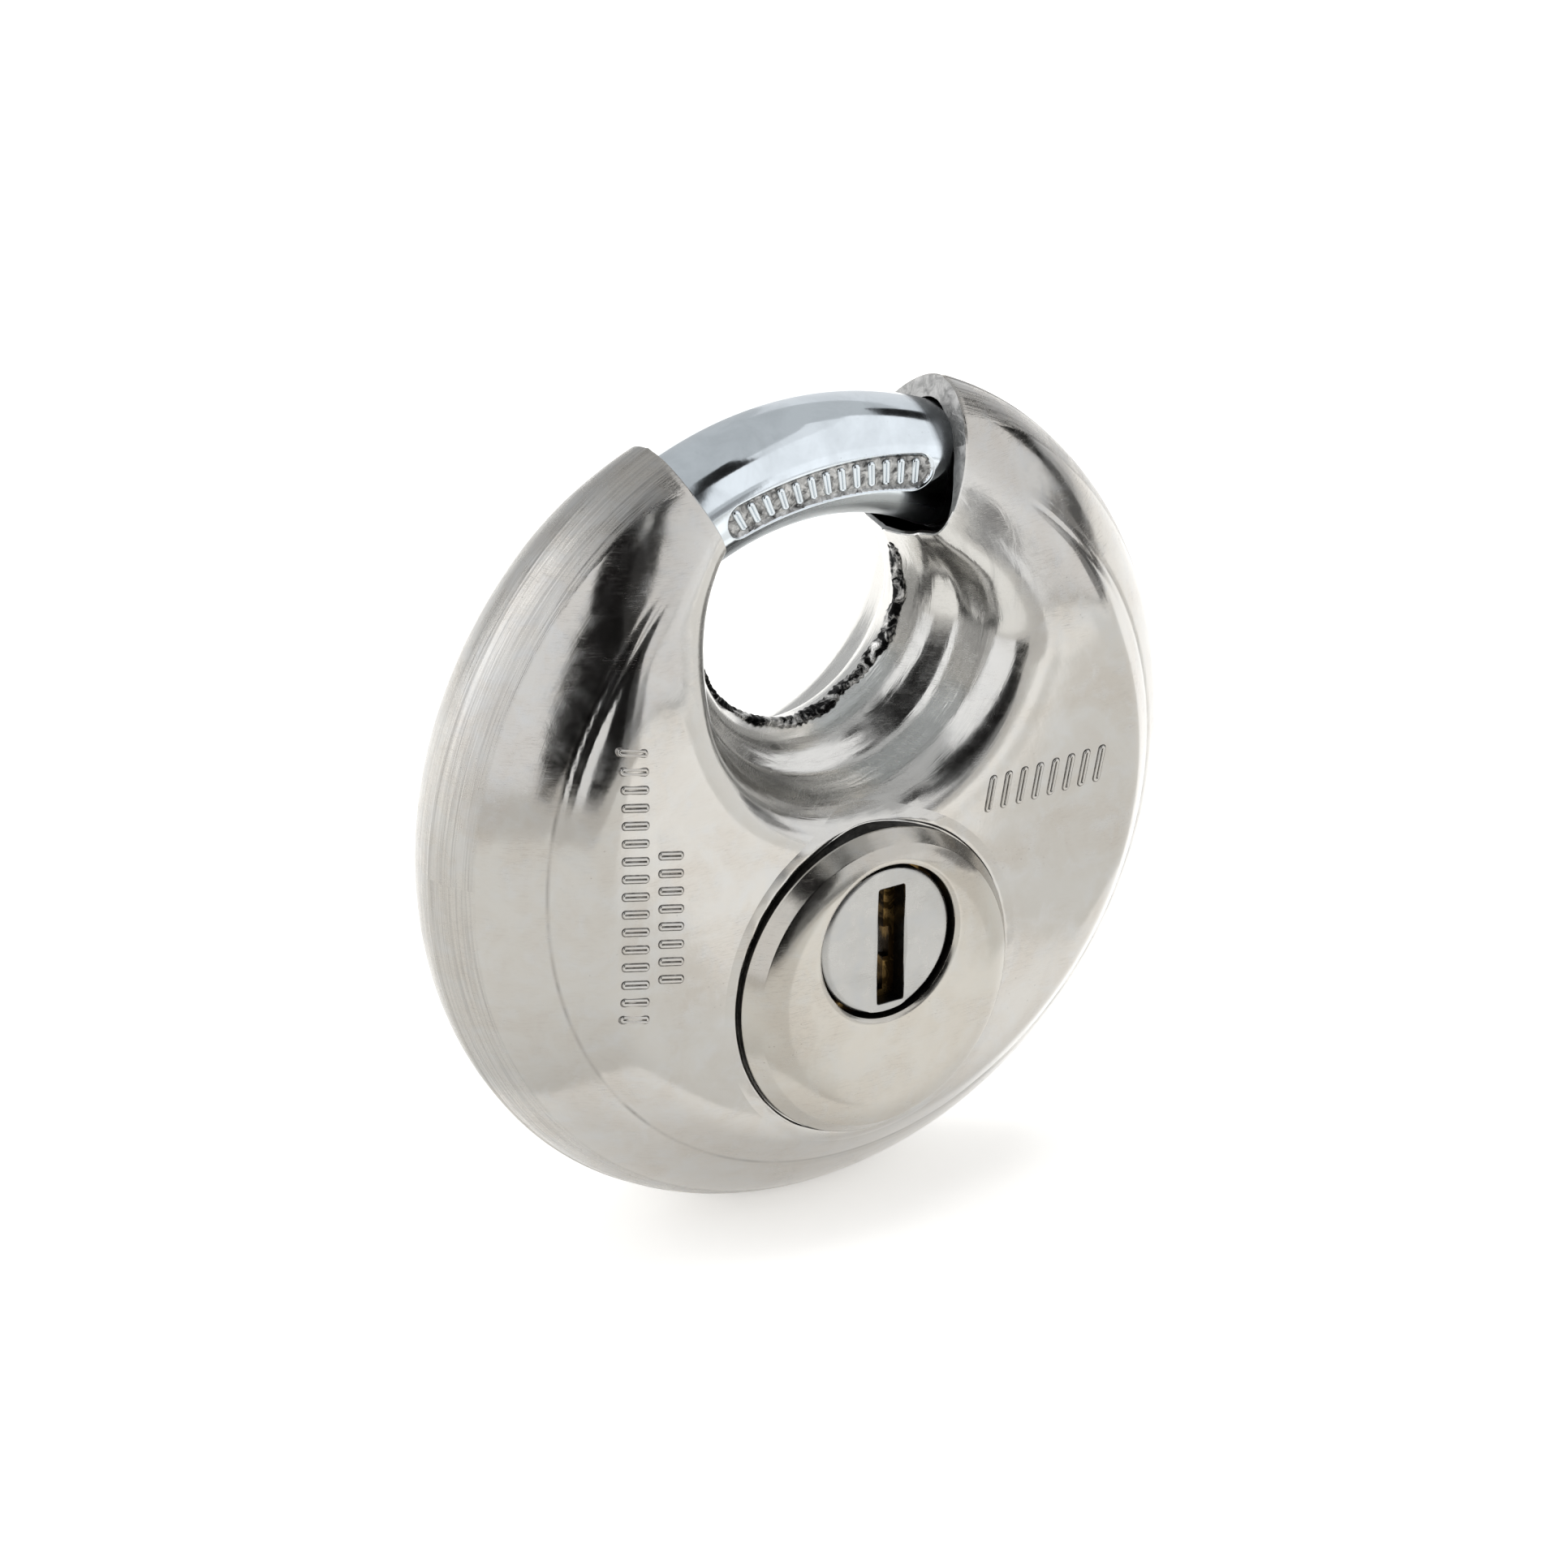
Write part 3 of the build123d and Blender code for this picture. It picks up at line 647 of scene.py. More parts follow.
def outer_grid(t, s):
    """Points of the case's outside, ring by ring, from the left mouth round to the right one."""
    centre, radius = case_rings(t)
    right = mouth_turn(MOUTH_RIGHT, centre, radius)
    left = mouth_turn(MOUTH_LEFT, centre, radius)
    angle = left[:, None] + (right + FULL_TURN - left)[:, None] * s[None, :]
    x = radius[:, None] * np.cos(angle)
    z = centre[:, None] + radius[:, None] * np.sin(angle)
    h = case_height(x, z)
    closer = pull_in(t[:, None], x, z) / radius[:, None]
    x, z = x - closer * x, z - closer * (z - centre[:, None])
    h[[0, -1], :] = 0.0
    return np.stack([x, h, z], axis=-1)


def outward_normals(grid):
    normal = np.cross(np.gradient(grid, axis=1), np.gradient(grid, axis=0))
    normal /= np.linalg.norm(normal, axis=-1, keepdims=True) + 1e-12
    return normal * np.where(normal[..., 1:2] < 0, -1.0, 1.0)


def wall_quad(a, b, count, turned):
    """Face across the wall between outer points a and b; the inner ones are count further on."""
    return (a, a + count, b + count, b) if turned else (a, b, b + count, a + count)


def case_shell(name, side, rows, columns):
    """One closed half of the case, from the hole's seam to the rim's, with its wall and cut mouths."""
    u = np.linspace(0.0, 1.0, rows)
    t = (0.5 - 0.5 * np.cos(math.pi * u)) * 0.75 + u * 0.25
    s = np.concatenate([[0.0], np.linspace(EDGE_BREAK, 1 - EDGE_BREAK, columns - 2), [1.0]])
    outer = outer_grid(t, s)
    normal = outward_normals(outer)
    wall = WALL_AT_HOLE + (WALL - WALL_AT_HOLE) * smooth_step(0.15, 0.5, t)
    near_rim = smooth_step(0.50, 0.85, t)
    near_cut = smooth_step(0.06, 0.0, np.minimum(s, 1 - s))
    lip = MOUTH_LIP * near_rim[:, None] * near_cut[None, :]
    inner = outer - (wall[:, None] + lip)[..., None] * normal
    inner[..., 1] = np.maximum(inner[..., 1], 0.0)
    inner[[0, -1], :, 1] = 0.0
    for column, mouth in ((0, MOUTH_LEFT), (-1, MOUTH_RIGHT)):
        outer[1:-1, column] -= MOUTH_CHAMFER * normal[1:-1, column]
        plane = np.array([-math.sin(mouth), 0.0, math.cos(mouth)])
        inner[:, column] -= (inner[:, column] @ plane)[:, None] * plane
    count = rows * columns
    points = np.concatenate([outer.reshape(-1, 3), inner.reshape(-1, 3)])
    points[:, 1] *= side
    faces = grid_faces(rows, columns) + grid_faces(rows, columns, count, flip=True)
    for row, turned in ((0, True), (rows - 1, False)):
        faces += [wall_quad(a, a + 1, count, turned)
                  for a in range(row * columns, (row + 1) * columns - 1)]
    for column, turned in ((0, False), (columns - 1, True)):
        faces += [wall_quad(a, a + columns, count, turned)
                  for a in range(column, column + count - columns, columns)]
    if side > 0:
        faces = [f[::-1] for f in faces]
    shell = add_mesh(name, points, faces, CASE_STEEL)
    inside = (rows - 1) * (columns - 1)
    cut_faces = 2 * (rows - 1)
    # Painted shade on the shell's inner face.
    paint_faces(shell, CASE_INSIDE_SHADE, range(inside, 2 * inside))
    total = len(shell.data.polygons)
    paint_faces(shell, CUT_EDGE, range(total - cut_faces, total))
    return shell


def cut_round(piece, radius, centre_z, low_h, high_h):
    """Cuts a round hole from the front through a piece, between two heights."""
    steps = CUTTER_STEPS
    rim = [(x, z + centre_z) for x, z in circle(radius, steps)]
    points = [(x, -h, z) for h in (low_h, high_h) for x, z in rim]
    faces = [(i, i + steps, (i + 1) % steps + steps, (i + 1) % steps) for i in range(steps)]
    faces += [tuple(range(steps)), tuple(range(2 * steps - 1, steps - 1, -1))]
    # The cut's walls take the cutter's painted shade.
    cutter = add_mesh("cutter", points, faces, GAP_SHADE, smooth=False)
    cut = piece.modifiers.new("cut", "BOOLEAN")
    cut.operation = "DIFFERENCE"
    cut.solver = "EXACT"
    cut.object = cutter
    cut.material_mode = "TRANSFER"
    apply_modifiers(piece)
    bpy.data.objects.remove(cutter, do_unlink=True)


def build_case():
    rows, columns = ((118, 400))
    front = case_shell("case_front", -1, rows, columns)
    cut_round(front, GUARD_R + JOINT_GAP, GUARD_Z, GUARD_FOOT_H - CUT_BELOW, GUARD_H + CUT_ABOVE)
    rear = case_shell("case_rear", 1, rows, columns)
    for piece, node in ((front, "front_shell"), (rear, "rear_shell")):
        sharpen(piece, 38)
        register(piece, "case", "shell_steel", node)


# ---- guard and plug ----

EYE_R = 6.57
EYE_BREAK = (0.45, 0.22)  # width and drop of the eye's rounded lip
CREST, ROLL_END = 1.0, 3.2  # distances in from the guard's edge
CREST_DROP, SIDE_SLOPE = 0.75, 1.32
CREST_BREAK = 0.08
LAST_INSET = 2.2
LIP_RISE = 0.16
# The swollen lip's section: distance out past the joint, sinking, and share of its rise.
LIP_SECTION = ((0.0, -1.2, 0.0), (0.0, 0.0, 0.45), (0.10, 0.0, 0.8), (0.28, 0.0, 1.0),
               (0.50, 0.0, 0.85), (0.75, 0.0, 0.5), (1.05, 0.0, 0.16), (1.40, -0.08, 0.0))


def build_guard():
    """Raised cap: a round foot, a rolled shoulder and an eye set towards its top."""
    columns = 256
    wall_top = GUARD_H - CREST_DROP - SIDE_SLOPE * CREST
    t = np.linspace(0.0, 1.0, 30, endpoint=False)
    insets = np.concatenate([np.linspace(LAST_INSET, CREST + CREST_BREAK, 12, endpoint=False),
                             np.linspace(CREST + CREST_BREAK, CREST - CREST_BREAK, 5, endpoint=False),
                             np.linspace(CREST - CREST_BREAK, 0.0, 12)])
    centre = np.concatenate([PLUG_Z + (GUARD_Z - PLUG_Z) * t, np.full(len(insets), GUARD_Z)])
    radius = np.concatenate([EYE_R + (GUARD_R - LAST_INSET - EYE_R) * t, GUARD_R - insets])
    angle = np.linspace(0.0, FULL_TURN, columns, endpoint=False)
    x = radius[:, None] * np.cos(angle)
    z = centre[:, None] + radius[:, None] * np.sin(angle)
    inset = np.maximum(GUARD_R - np.hypot(x, z - GUARD_Z), 0.0)
    roll = np.clip((ROLL_END - inset) / (ROLL_END - CREST), 0.0, 1.0)
    drop = CREST_DROP * roll ** 2 + SIDE_SLOPE * np.maximum(CREST - inset, 0.0)
    eye_lip = np.clip(1 - (np.hypot(x, z - PLUG_Z) - EYE_R) / EYE_BREAK[0], 0.0, 1.0)
    h = GUARD_H - drop - EYE_BREAK[1] * eye_lip ** 2
    ring = np.stack([x, -h, z], axis=-1)
    eye_back, eye_front, foot_top, foot = (ring[i] * 1.0 for i in (0, 0, -1, -1))
    eye_front[:, 1] += 0.12
    eye_back[:, 1] = -(PLUG_BACK_H + 0.1)
    foot_top[:, 1] = -(wall_top - 0.25)
    foot[:, 1] = -GUARD_FOOT_H
    loops = [eye_back, eye_front, *ring, foot_top, foot]
    last = (len(loops) - 1) * columns
    guard = add_mesh("guard_cap", np.concatenate(loops), ring_faces(len(loops), columns), GUARD_STEEL)
    # Painted shade on the eye's wall and the foot's wall.
    paint_faces(guard, GAP_SHADE, [*range(columns), *range(last - 2 * columns, last)])
    sharpen(guard, 50)
    register(guard, "case", "guard_steel", "cylinder_guard")


def build_guard_lip():
    """Case metal swollen into a low ring where the guard was pressed through it."""
    columns = 300
    rng = random.Random(3)
    waves = [(rng.randint(3, 40), rng.uniform(0, 6.3)) for _ in range(9)]
    points = []
    for j in range(columns):
        a = FULL_TURN * j / columns
        swell = LIP_RISE * (1 + 0.05 * sum(math.sin(f * a + p) for f, p in waves))
        for out, sink, rise in LIP_SECTION:
            r = GUARD_R + (JOINT_GAP + out)
            x, z = r * math.cos(a), GUARD_Z + r * math.sin(a)
            points.append((x, -(case_height_at(x, z) + sink + rise * swell), z))
    n = len(LIP_SECTION)
    faces = [(j * n + i, j * n + (i + 1) % n, (j + 1) % columns * n + (i + 1) % n, (j + 1) % columns * n + i)
             for j in range(columns) for i in range(n)]
    ring = add_mesh("guard_lip", points, faces, CASE_STEEL)
    # Painted shade on the joint's wall.
    paint_faces(ring, GAP_SHADE, range(0, columns * n, n))
    sharpen(ring, 60)
    register(ring, "case", "shell_steel")


SLOT_X, SLOT_Z = 0.5, -0.5  # middle of the key slot from the plug's centre
SLOT_HALF = (1.3, 5.0)
SLOT_CORNER = 0.22
SLOT_BREAK, FACE_BREAK = 0.10, 0.22


def rounded_slot(angle, half_x, half_z, corner):
    """Point of a rounded rectangle's outline in a direction."""
    c, s = math.cos(angle), math.sin(angle)
    reach = 1 / max(abs(c) / half_x, abs(s) / half_z)
    x, z = reach * c, reach * s
    over_x, over_z = abs(x) - (half_x - corner), abs(z) - (half_z - corner)
    if over_x > 0 and over_z > 0:
        length = math.hypot(over_x, over_z)
        x = math.copysign(half_x - corner + corner * over_x / length, x)
        z = math.copysign(half_z - corner + corner * over_z / length, z)
    return x, z


def build_plug_face():
    """Satin disc with the key slot, broken edges and the slot's walls."""
    columns, rows = 360, 26
    slot = [rounded_slot(FULL_TURN * i / columns, *SLOT_HALF, SLOT_CORNER) for i in range(columns)]
    slot = np.array([(x + SLOT_X, z + SLOT_Z) for x, z in slot])
    rim = np.array(circle(PLUG_R, columns))
    loops = []

    def loop(flat, height):
        loops.append(np.stack([flat[:, 0], np.full(columns, -height), flat[:, 1] + PLUG_Z], axis=-1))

    loop(slot, PLUG_BACK_H)
    loop(slot, PLUG_H - 0.16)
    for i in range(rows):
        t = i / (rows - 1)
        edge = max(0.0, 1 - t * rows / 2.0)
        outer = max(0.0, 1 - (1 - t) * rows / 2.0)
        loop(slot * (1 - t) + rim * t, PLUG_H - SLOT_BREAK * edge ** 2 - FACE_BREAK * outer ** 2)
    loop(rim, PLUG_H - 0.45)
    loop(rim, PLUG_BACK_H)
    face = add_mesh("plug_front", np.concatenate(loops), ring_faces(len(loops), columns), PLUG_STEEL)
    # Painted shade on the key slot's walls and the disc's side.
    paint_faces(face, GAP_SHADE, [*range(columns), *range((rows + 2) * columns, (rows + 3) * columns)])
    sharpen(face, 40)
    register(face, "plug", "face_steel", "plug_face")


# ---- shackle ----

TIP = math.radians(58.0)  # angles about the disc's centre, from its right side
TAIL = math.radians(290.0)
FINE_TO = math.radians(118.0)
RACK_FROM = math.radians(194.0)
RACK_FLAT = rack_low.y - 0.02
TIP_ROUND = 1.3
DENSE = (math.radians(62.0), math.radians(128.0))  # part of the section that holds the panel
PANEL_FROM = math.radians(69.0)
PANEL_TO = math.radians(111.0)
PANEL_DEPTH = 0.42
PANEL_HALF = 1.62


def ring_point(angle, section, reach):
    """A point beside the shackle's centre line: section 0 is outwards, a quarter turn is the front."""
    r = RING_R + reach * math.cos(section)
    return (r * math.cos(angle), -reach * math.sin(section), r * math.sin(angle))


def panel_middle(angle):
    """Section angle of the panel's middle line, which drifts inwards along the bar."""
    part = (angle - PANEL_FROM) / (PANEL_TO - PANEL_FROM)
    return math.radians(90.0 + 9.0 * math.sin(min(max(part, 0.0), 1.0) * math.pi * 0.75))


def panel_edge_distance(angle, section):
    """Distance in millimetres inside the panel's round-ended outline, negative outside."""
    along = (angle - (PANEL_FROM + PANEL_TO) / 2) * RING_R
    across = (section - panel_middle(angle)) * BAR_R
    half = (PANEL_TO - PANEL_FROM) / 2 * RING_R - PANEL_HALF
    beyond = max(abs(along) - half, 0.0)
    return PANEL_HALF - math.hypot(beyond, across)


def bar_angles():
    """Sweep angles from tip to tail, close together where the bar shows."""
    fine, hidden = (400), 58
    return ([TIP + (FINE_TO - TIP) * i / fine for i in range(fine)]
            + [FINE_TO + (TAIL - FINE_TO) * i / hidden for i in range(hidden + 1)])


def bar_sections():
    """Section angles round the bar, close together across the panel."""
    coarse, dense = 64, (140)
    width = DENSE[1] - DENSE[0]
    return ([DENSE[0] + width * j / dense for j in range(dense)]
            + [DENSE[1] + (FULL_TURN - width) * j / coarse for j in range(coarse)])


def bar_loop(angle, sections):
    """One loop of the bar's surface, with its rounded tip, its panel and the flat for the rack."""
    from_tip = (angle - TIP) * RING_R
    shrink = 0.0
    if from_tip < TIP_ROUND:
        shrink = TIP_ROUND - math.sqrt(TIP_ROUND ** 2 - (TIP_ROUND - from_tip) ** 2)
    loop = []
    for section in sections:
        depth = PANEL_DEPTH * float(smooth_step(-0.05, 0.3, panel_edge_distance(angle, section)))
        x, y, z = ring_point(angle, section, BAR_R - shrink - depth)
        loop.append((x, min(y, RACK_FLAT) if angle > RACK_FROM else y, z))
    return loop


def build_shackle():
    angles, sections = bar_angles(), bar_sections()
    columns = len(sections)
    points = [p for angle in angles for p in bar_loop(angle, sections)]
    bar = add_mesh("shackle_bar", points, capped_faces(len(angles), columns), CHROME)
    corners = [(polygon.index, polygon.vertices[0]) for polygon in bar.data.polygons
               if len(polygon.vertices) <= 4]
    paint_faces(bar, SLOT_METAL, [
        index for index, corner in corners
        if panel_edge_distance(angles[corner // columns], sections[corner % columns]) > 0.10])
    sharpen(bar, 45)
    register(bar, "shackle", "shackle_chrome", "shackle")


# ---- raised strokes ----

STROKE_WIDTH = 0.36
STROKE_CORNER = 0.16
CASE_LEAN, CASE_BEAD = 0.22, 0.13
# Sink and thickness of the painted shade ring round each stroke's foot.
SHADE_SINK, SHADE_BEAD = 0.20, 0.29
PANEL_STROKES, PANEL_STROKE_HEIGHT = 13, 2.05
PANEL_LEAN, PANEL_BEAD = -0.25, 0.19
STROKE_LIFT = 0.02
# Rows of plain slanted strokes: start, step along, up direction, count and height.
STROKE_ROWS = (
    ((-22.9, -11.0), (-0.01, 1.52), (-1.0, 0.0), 16, 2.3),
    ((-19.5, -8.3), (-0.01, 1.52), (-1.0, 0.0), 8, 2.1),
    ((11.8, 0.1), (1.52, 0.03), (0.0, 1.0), 8, 2.7),
)


def tube_loops(name, loops, radius, material, body, slot):
    """Thin raised beads along closed lines, as one mesh piece."""
    curve = bpy.data.curves.new(name, "CURVE")
    curve.dimensions = "3D"
    curve.bevel_depth = radius * MM
    curve.bevel_resolution = 2
    for loop in loops:
        placed = in_frame(loop)
        spline = curve.splines.new("POLY")
        spline.points.add(len(placed) - 1)
        for point, place in zip(spline.points, placed):
            point.co = (*place, 1.0)
        spline.use_cyclic_u = True
    holder = bpy.data.objects.new(name + "_line", curve)
    bpy.context.scene.collection.objects.link(holder)
    graph = bpy.context.evaluated_depsgraph_get()
    mesh = bpy.data.meshes.new_from_object(holder.evaluated_get(graph))
    bpy.data.objects.remove(holder, do_unlink=True)
    mesh.name = name
    mesh.materials.clear()
    mesh.materials.append(material)
    mesh.shade_smooth()
    piece = bpy.data.objects.new(name, mesh)
    bpy.context.scene.collection.objects.link(piece)
    register(piece, body, slot)


def stroke_outline(height, slant, steps=6):
    """Outline of an upright stroke with rounded ends, leaning by slant per unit of height."""
    points = []
    for cx, cy, start in ((1, 1, 0), (-1, 1, 90), (-1, -1, 180), (1, -1, 270)):
        for i in range(steps + 1):
            a = math.radians(start + 90 * i / steps)
            u = cx * (STROKE_WIDTH / 2 - STROKE_CORNER) + STROKE_CORNER * math.cos(a)
            v = cy * (height / 2 - STROKE_CORNER) + STROKE_CORNER * math.sin(a)
            points.append((u + slant * v, v))
    return points


def build_case_strokes():
    loops, edges = [], []
    for (x0, z0), (dx, dz), (ux, uz), count, height in STROKE_ROWS:
        length = math.hypot(dx, dz)
        for i in range(count):
            loop = []
            for u, v in stroke_outline(height, CASE_LEAN):
                x = x0 + dx * i + u * dx / length + v * ux
                z = z0 + dz * i + u * dz / length + v * uz
                loop.append((x, -case_height_at(x, z), z))
            loops.append([(x, y - STROKE_LIFT, z) for x, y, z in loop])
            # Painted shade: a dark ring, sunk below each stroke, that shows round its foot.
            edges.append([(x, y + SHADE_SINK, z) for x, y, z in loop])
    tube_loops("case_bars", loops, CASE_BEAD, CASE_STEEL, "case", "shell_steel")
    tube_loops("case_stroke_shades", edges, SHADE_BEAD, PAINTED_STROKE_SHADE, "case", "shell_steel")


def build_shackle_strokes():
    loops = []
    for i in range(PANEL_STROKES):
        middle = PANEL_FROM + (PANEL_TO - PANEL_FROM) * (i + 1.0) / (PANEL_STROKES + 1.0)
        loop = []
        for u, v in stroke_outline(PANEL_STROKE_HEIGHT, PANEL_LEAN):
            angle = middle - u / RING_R
            section = panel_middle(angle) - v / BAR_R
            loop.append(ring_point(angle, section, BAR_R - PANEL_DEPTH + STROKE_LIFT))
        loops.append(loop)
    tube_loops("shackle_bars", loops, PANEL_BEAD, CHROME, "shackle", "shackle_chrome")


# ---- welds ----

BEAD_HALF = (0.32, 0.62)  # half thickness out of the wall, half width along it
BEAD_LIFT, BEAD_SHIFT = 0.10, -0.2
BEAD_TAPER = 8  # steps over which each end narrows
SEAM_SECTION = ((0.30, -0.04), (0.20, 0.03), (0.08, 0.08), (-0.08, 0.08),
                (-0.20, 0.03), (-0.30, -0.04), (0.0, -0.5))
SEAM_INSET = 0.004


def build_hole_weld():
    """Uneven fused bead along the seam inside the hole."""
    rng = random.Random(7)
    steps, around = ((520, 20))
    start = float(mouth_turn(MOUTH_LEFT, HOLE_Z, HOLE_R)) + 0.02
    end = float(mouth_turn(MOUTH_RIGHT, HOLE_Z, HOLE_R)) + FULL_TURN - 0.05
    waves = [(rng.uniform(12, 150), rng.uniform(0, 6.3), rng.uniform(0.3, 1.0)) for _ in range(22)]
    points = []
    for i in range(steps):
        a = start + (end - start) * i / (steps - 1)
        ripple = sum(w * math.sin(f * a + p) for f, p, w in waves) / 5
        drift = 0.25 * math.sin(5 * a) + 0.12 * math.sin(17 * a + 1)
        taper = min(1.0, i / BEAD_TAPER, (steps - 1 - i) / BEAD_TAPER)
        for j in range(around):
            b = FULL_TURN * j / around
            lump = 1 + 0.16 * math.sin(3 * b + 9 * a) + 0.16 * ripple
            reach = HOLE_R + BEAD_LIFT + BEAD_HALF[0] * math.cos(b) * lump * taper
            y = drift + BEAD_HALF[1] * math.sin(b) * lump * taper + BEAD_SHIFT
            points.append((reach * math.cos(a), y, HOLE_Z + reach * math.sin(a)))
    bead = add_mesh("hole_weld", points, capped_faces(steps, around, flip=True), WELD)
    register(bead, "case", "shell_steel")


def build_rim_seam():
    """Low dressed weld along the seam round the rim."""
    steps = 720
    start, end = MOUTH_LEFT + SEAM_INSET, MOUTH_RIGHT + FULL_TURN - SEAM_INSET
    points = []
    for i in range(steps):
        a = start + (end - start) * i / (steps - 1)
        points += [((DISC_R + rise) * math.cos(a), y, (DISC_R + rise) * math.sin(a))
                   for y, rise in SEAM_SECTION]
    seam = add_mesh("rim_seam", points, capped_faces(steps, len(SEAM_SECTION), flip=True), CASE_STEEL)
    sharpen(seam, 30)
    register(seam, "case", "shell_steel")


# ---- pin springs ----

SPRING_WIRE = 0.14
SPRING_TURNS = 5
SPRING_CLOSED = 0.9  # turns that lie closed at each end
CLOSED_PITCH = 2.15  # in wire radii
TURN_STEPS, WIRE_SIDES = 32, 12


def coil_rise(turn, length):
    """Height along a coil after some turns; its end turns lie closed."""
    closed = CLOSED_PITCH * SPRING_WIRE * SPRING_CLOSED
    if turn < SPRING_CLOSED:
        return closed * turn / SPRING_CLOSED
    if turn > SPRING_TURNS - SPRING_CLOSED:
        return length - closed * (SPRING_TURNS - turn) / SPRING_CLOSED
    return closed + (length - 2 * closed) * (turn - SPRING_CLOSED) / (SPRING_TURNS - 2 * SPRING_CLOSED)


def build_spring(node):
    """Round-wire coil under a driver pin, with its end turns lying closed."""
    low, high = span(node)
    x0, y0 = (low.x + high.x) / 2, (low.y + high.y) / 2
    coil_r = (high.x - low.x) / 2 - SPRING_WIRE
    height = high.z - low.z
    steps = TURN_STEPS * SPRING_TURNS
    points = []
    for i in range(steps + 1):
        turn = SPRING_TURNS * i / steps
        a = FULL_TURN * turn
        z0 = low.z - CENTRE_Z + SPRING_WIRE + coil_rise(turn, height - 2 * SPRING_WIRE)
        for wire_x, wire_z in circle(SPRING_WIRE, WIRE_SIDES):
            reach = coil_r + wire_x
            points.append((x0 + reach * math.cos(a), y0 + reach * math.sin(a), z0 + wire_z))
    coil = add_mesh(node.replace("pin_spring", "spring_coil"), points,
                    capped_faces(steps + 1, WIRE_SIDES), SCREW_STEEL)
    sharpen(coil, 60)
    register(coil, "case", "spring_steel", node)
    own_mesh(coil)


def build_springs():
    for joint in frame["record"]["behaviour"]["joints"]:
        for row in joint.get("deforming_nodes", []):
            build_spring(row["node"])


# ---- stage, light and camera ----

AZ, EL, ROLL = math.radians(35.67), math.radians(23.31), math.radians(0.80)
DISTANCE = 1.0
LENS, SENSOR = 285.9, 36.0
SHIFT = (-0.0043, -0.0016)
FOCUS = Vector((0, 0, CENTRE_Z * MM))
FLOOR_HALF = 3.0
SKY_DISTANCE = 1.5
CARD_LIFT = 0.0004
BLACK = (0.004, 0.004, 0.004)
COOL_WHITE = (0.97, 0.98, 1.0)
WARM_WHITE = (1.0, 0.99, 0.97)
DAYLIGHT, DAYLIGHT_STRENGTH = (0.96, 0.98, 1.0, 1.0), 0.66

# Azimuths and elevations in degrees, 0 and 0 straight in front, and glow; without glow it is black.
SKY_PATCHES = (
    ("flag_front", (-49, -10), (-8, 66), 0.0),
    ("flag_low", (8, 25), (1, 9), 0.35),
    ("flag_over", (0, 28), (51, 70), 0.0),
    ("flag_mid", (-10, 9), (12, 51), 0.05),
    ("flag_mid_low", (-10, 8), (0, 12), 0.25),
    ("flag_right", (88, 106), (12, 43), 0.0),
    ("flag_right_low", (76, 98), (-4, 12), 0.16),
    ("softbox_right", (10, 88), (15, 51), 1.18),
    ("softbox_upper", (28, 83), (51, 60), 1.0),
    ("softbox_low", (25, 58), (1, 15), 1.3),
    ("softbox_side", (58, 76), (1, 15), 0.35),
    ("softbox_end", (106, 150), (0, 34), 0.9),
    ("softbox_left", (-118, -50), (0, 58), 1.3),
    ("softbox_rim", (-150, -118), (0, 50), 2.2),
)
# Azimuths in degrees, and nearest and furthest reach from the middle in millimetres.
TABLE_CARDS = (
    ("table_front", (-95, 25), (235, 1400), "grey"),
    ("table_right", (35, 95), (66, 600), "pale"),
    ("table_left", (-140, 18), (32, 235), "pale"),
)
# Place from the focus, width, height and watts.
EMITTERS = (
    ("top", (0.2, 0.3, 1.4), 1.2, 1.2, 11.0),
    ("front", (-0.5, -1.0, 0.45), 0.9, 0.6, 4.0),
)


def emitter(name, offset, width, height, watts):
    light = bpy.data.lights.new(name, "AREA")
    light.shape = "RECTANGLE"
    light.size = width
    light.size_y = height
    light.energy = watts
    lamp = bpy.data.objects.new(name, light)
    lamp.location = FOCUS + Vector(offset)
    lamp.rotation_euler = (-Vector(offset)).to_track_quat("-Z", "Y").to_euler()
    lamp.visible_glossy = False
    bpy.context.scene.collection.objects.link(lamp)


def paint(name, colour, glow=0.0, glow_colour=WARM_WHITE):
    material = bpy.data.materials.new(name)
    material.use_nodes = True
    shader = material.node_tree.nodes["Principled BSDF"]
    shader.inputs["Base Color"].default_value = (*colour, 1.0)
    shader.inputs["Roughness"].default_value = 0.9
    shader.inputs["Specular IOR Level"].default_value = 0.2
    if glow:
        shader.inputs["Emission Color"].default_value = (*glow_colour, 1.0)
        shader.inputs["Emission Strength"].default_value = glow
    return material


def stage_sheet(name, points, faces, material):
    """An open sheet in metres that belongs to the stage."""
    mesh = bpy.data.meshes.new(name)
    mesh.from_pydata(points, [], faces)
    mesh.materials.append(material)
    sheet = bpy.data.objects.new(name, mesh)
    bpy.context.scene.collection.objects.link(sheet)
    sheet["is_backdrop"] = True
    return sheet


def steps_between(limits, steps):
    """Angles in radians from one limit in degrees to the other."""
    low, high = limits
    return [math.radians(low + (high - low) * i / steps) for i in range(steps + 1)]


def sky_patch(name, azimuths, elevations, glow):
    """Part of a sphere round the lock, black or glowing, that the camera doesn't see."""
    steps = 12
    points = []
    for el in steps_between(elevations, steps):
        for az in steps_between(azimuths, steps):
            way = Vector((math.sin(az) * math.cos(el), -math.cos(az) * math.cos(el), math.sin(el)))
            points.append(FOCUS + way * SKY_DISTANCE)
    material = paint(name + "_paint", (0, 0, 0) if glow else BLACK, glow, COOL_WHITE)
    patch = stage_sheet(name, points, grid_faces(steps + 1, steps + 1), material)
    patch.visible_camera = False


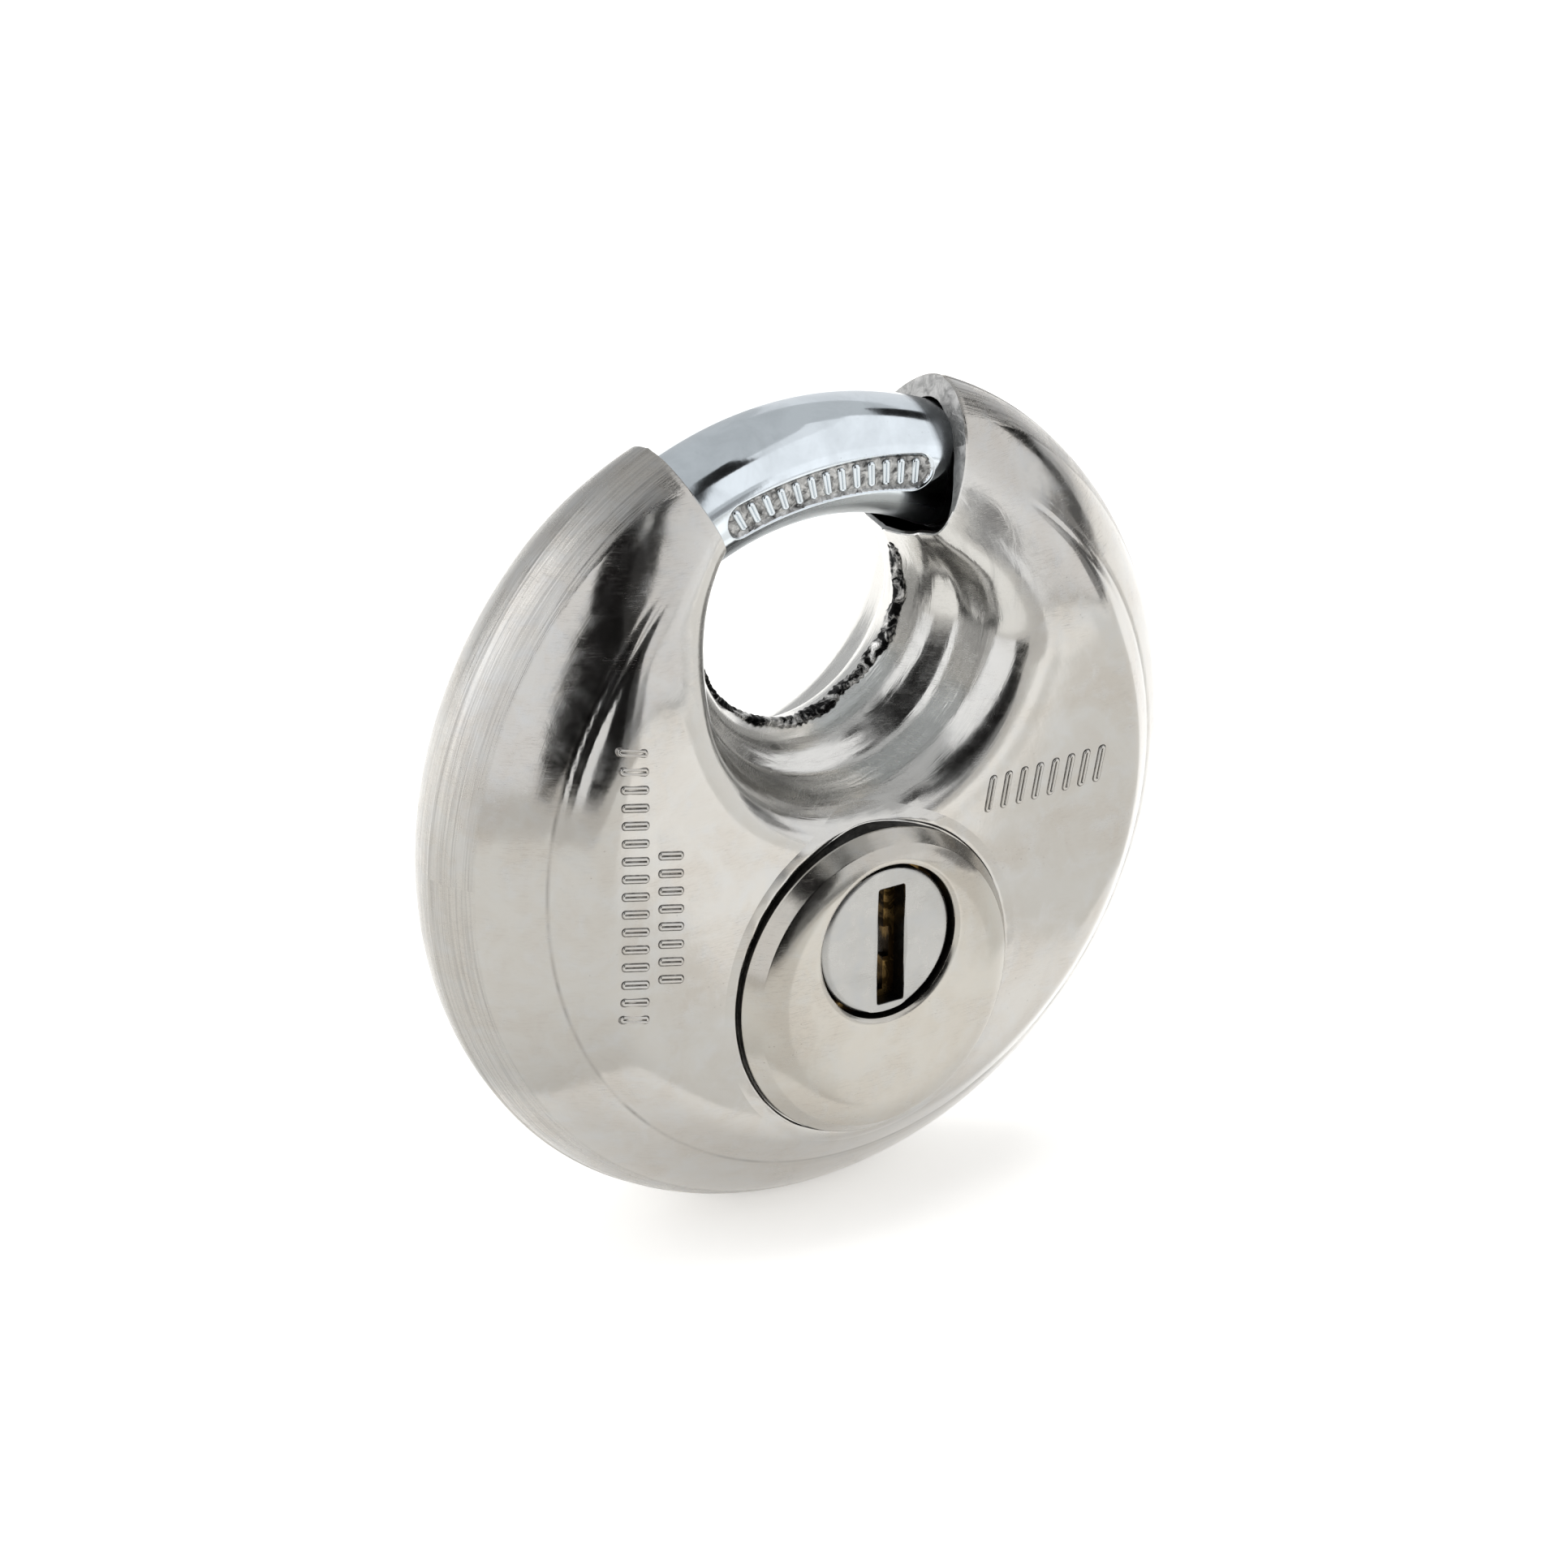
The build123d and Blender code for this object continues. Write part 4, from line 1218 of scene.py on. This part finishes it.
def table_card(name, azimuths, reach, height, material):
    """A flat sheet that lies on the table, seen only in the polish."""
    steps = 24
    points = [(r * MM * math.sin(turn), -r * MM * math.cos(turn), height)
              for turn in steps_between(azimuths, steps) for r in reach]
    faces = [(2 * i, 2 * i + 1, 2 * i + 3, 2 * i + 2) for i in range(steps)]
    card = stage_sheet(name, points, faces, material)
    card.visible_camera = False
    card.visible_diffuse = False
    card.visible_shadow = False


def build_floor():
    z = cad_box[0].z
    corners = [(x * FLOOR_HALF, y * FLOOR_HALF, z) for x, y in ((-1, -1), (1, -1), (1, 1), (-1, 1))]
    stage_sheet("floor", corners, [(0, 1, 2, 3)], paint("floor_paint", (0.93, 0.92, 0.90), 0.36))


def build_world():
    world = bpy.data.worlds.new("studio")
    world.use_nodes = True
    background = world.node_tree.nodes["Background"]
    background.inputs["Color"].default_value = DAYLIGHT
    background.inputs["Strength"].default_value = DAYLIGHT_STRENGTH
    bpy.context.scene.world = world
    bpy.context.scene.view_settings.view_transform = "Standard"


def build_stage():
    build_floor()
    for row in SKY_PATCHES:
        sky_patch(*row)
    cards = {"grey": paint("table_grey", (0.58, 0.565, 0.54), 0.12),
             "pale": paint("table_pale", (0.78, 0.77, 0.745), 0.18)}
    card_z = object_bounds()[0][2] + CARD_LIFT
    for name, azimuths, reach, shade in TABLE_CARDS:
        table_card(name, azimuths, reach, card_z, cards[shade])
    build_world()
    for row in EMITTERS:
        emitter(*row)


def build_camera():
    forward = Vector((math.sin(AZ) * math.cos(EL), math.cos(AZ) * math.cos(EL), -math.sin(EL)))
    level = Vector((math.cos(AZ), -math.sin(AZ), 0))
    upright = level.cross(forward)
    right = level * math.cos(ROLL) + upright * math.sin(ROLL)
    up = upright * math.cos(ROLL) - level * math.sin(ROLL)
    data = bpy.data.cameras.new("camera")
    data.lens = LENS
    data.sensor_width = SENSOR
    data.shift_x, data.shift_y = SHIFT
    data.clip_start = 0.01
    camera = bpy.data.objects.new("camera", data)
    place = FOCUS - forward * DISTANCE
    camera.matrix_world = Matrix((
        (right.x, up.x, -forward.x, place.x),
        (right.y, up.y, -forward.y, place.y),
        (right.z, up.z, -forward.z, place.z),
        (0, 0, 0, 1)))
    bpy.context.scene.collection.objects.link(camera)
    bpy.context.scene.camera = camera


dress_nodes()
build_case()
build_guard()
build_guard_lip()
build_plug_face()
build_shackle()
build_case_strokes()
build_shackle_strokes()
build_hole_weld()
build_rim_seam()
build_springs()
build_camera()
build_stage()
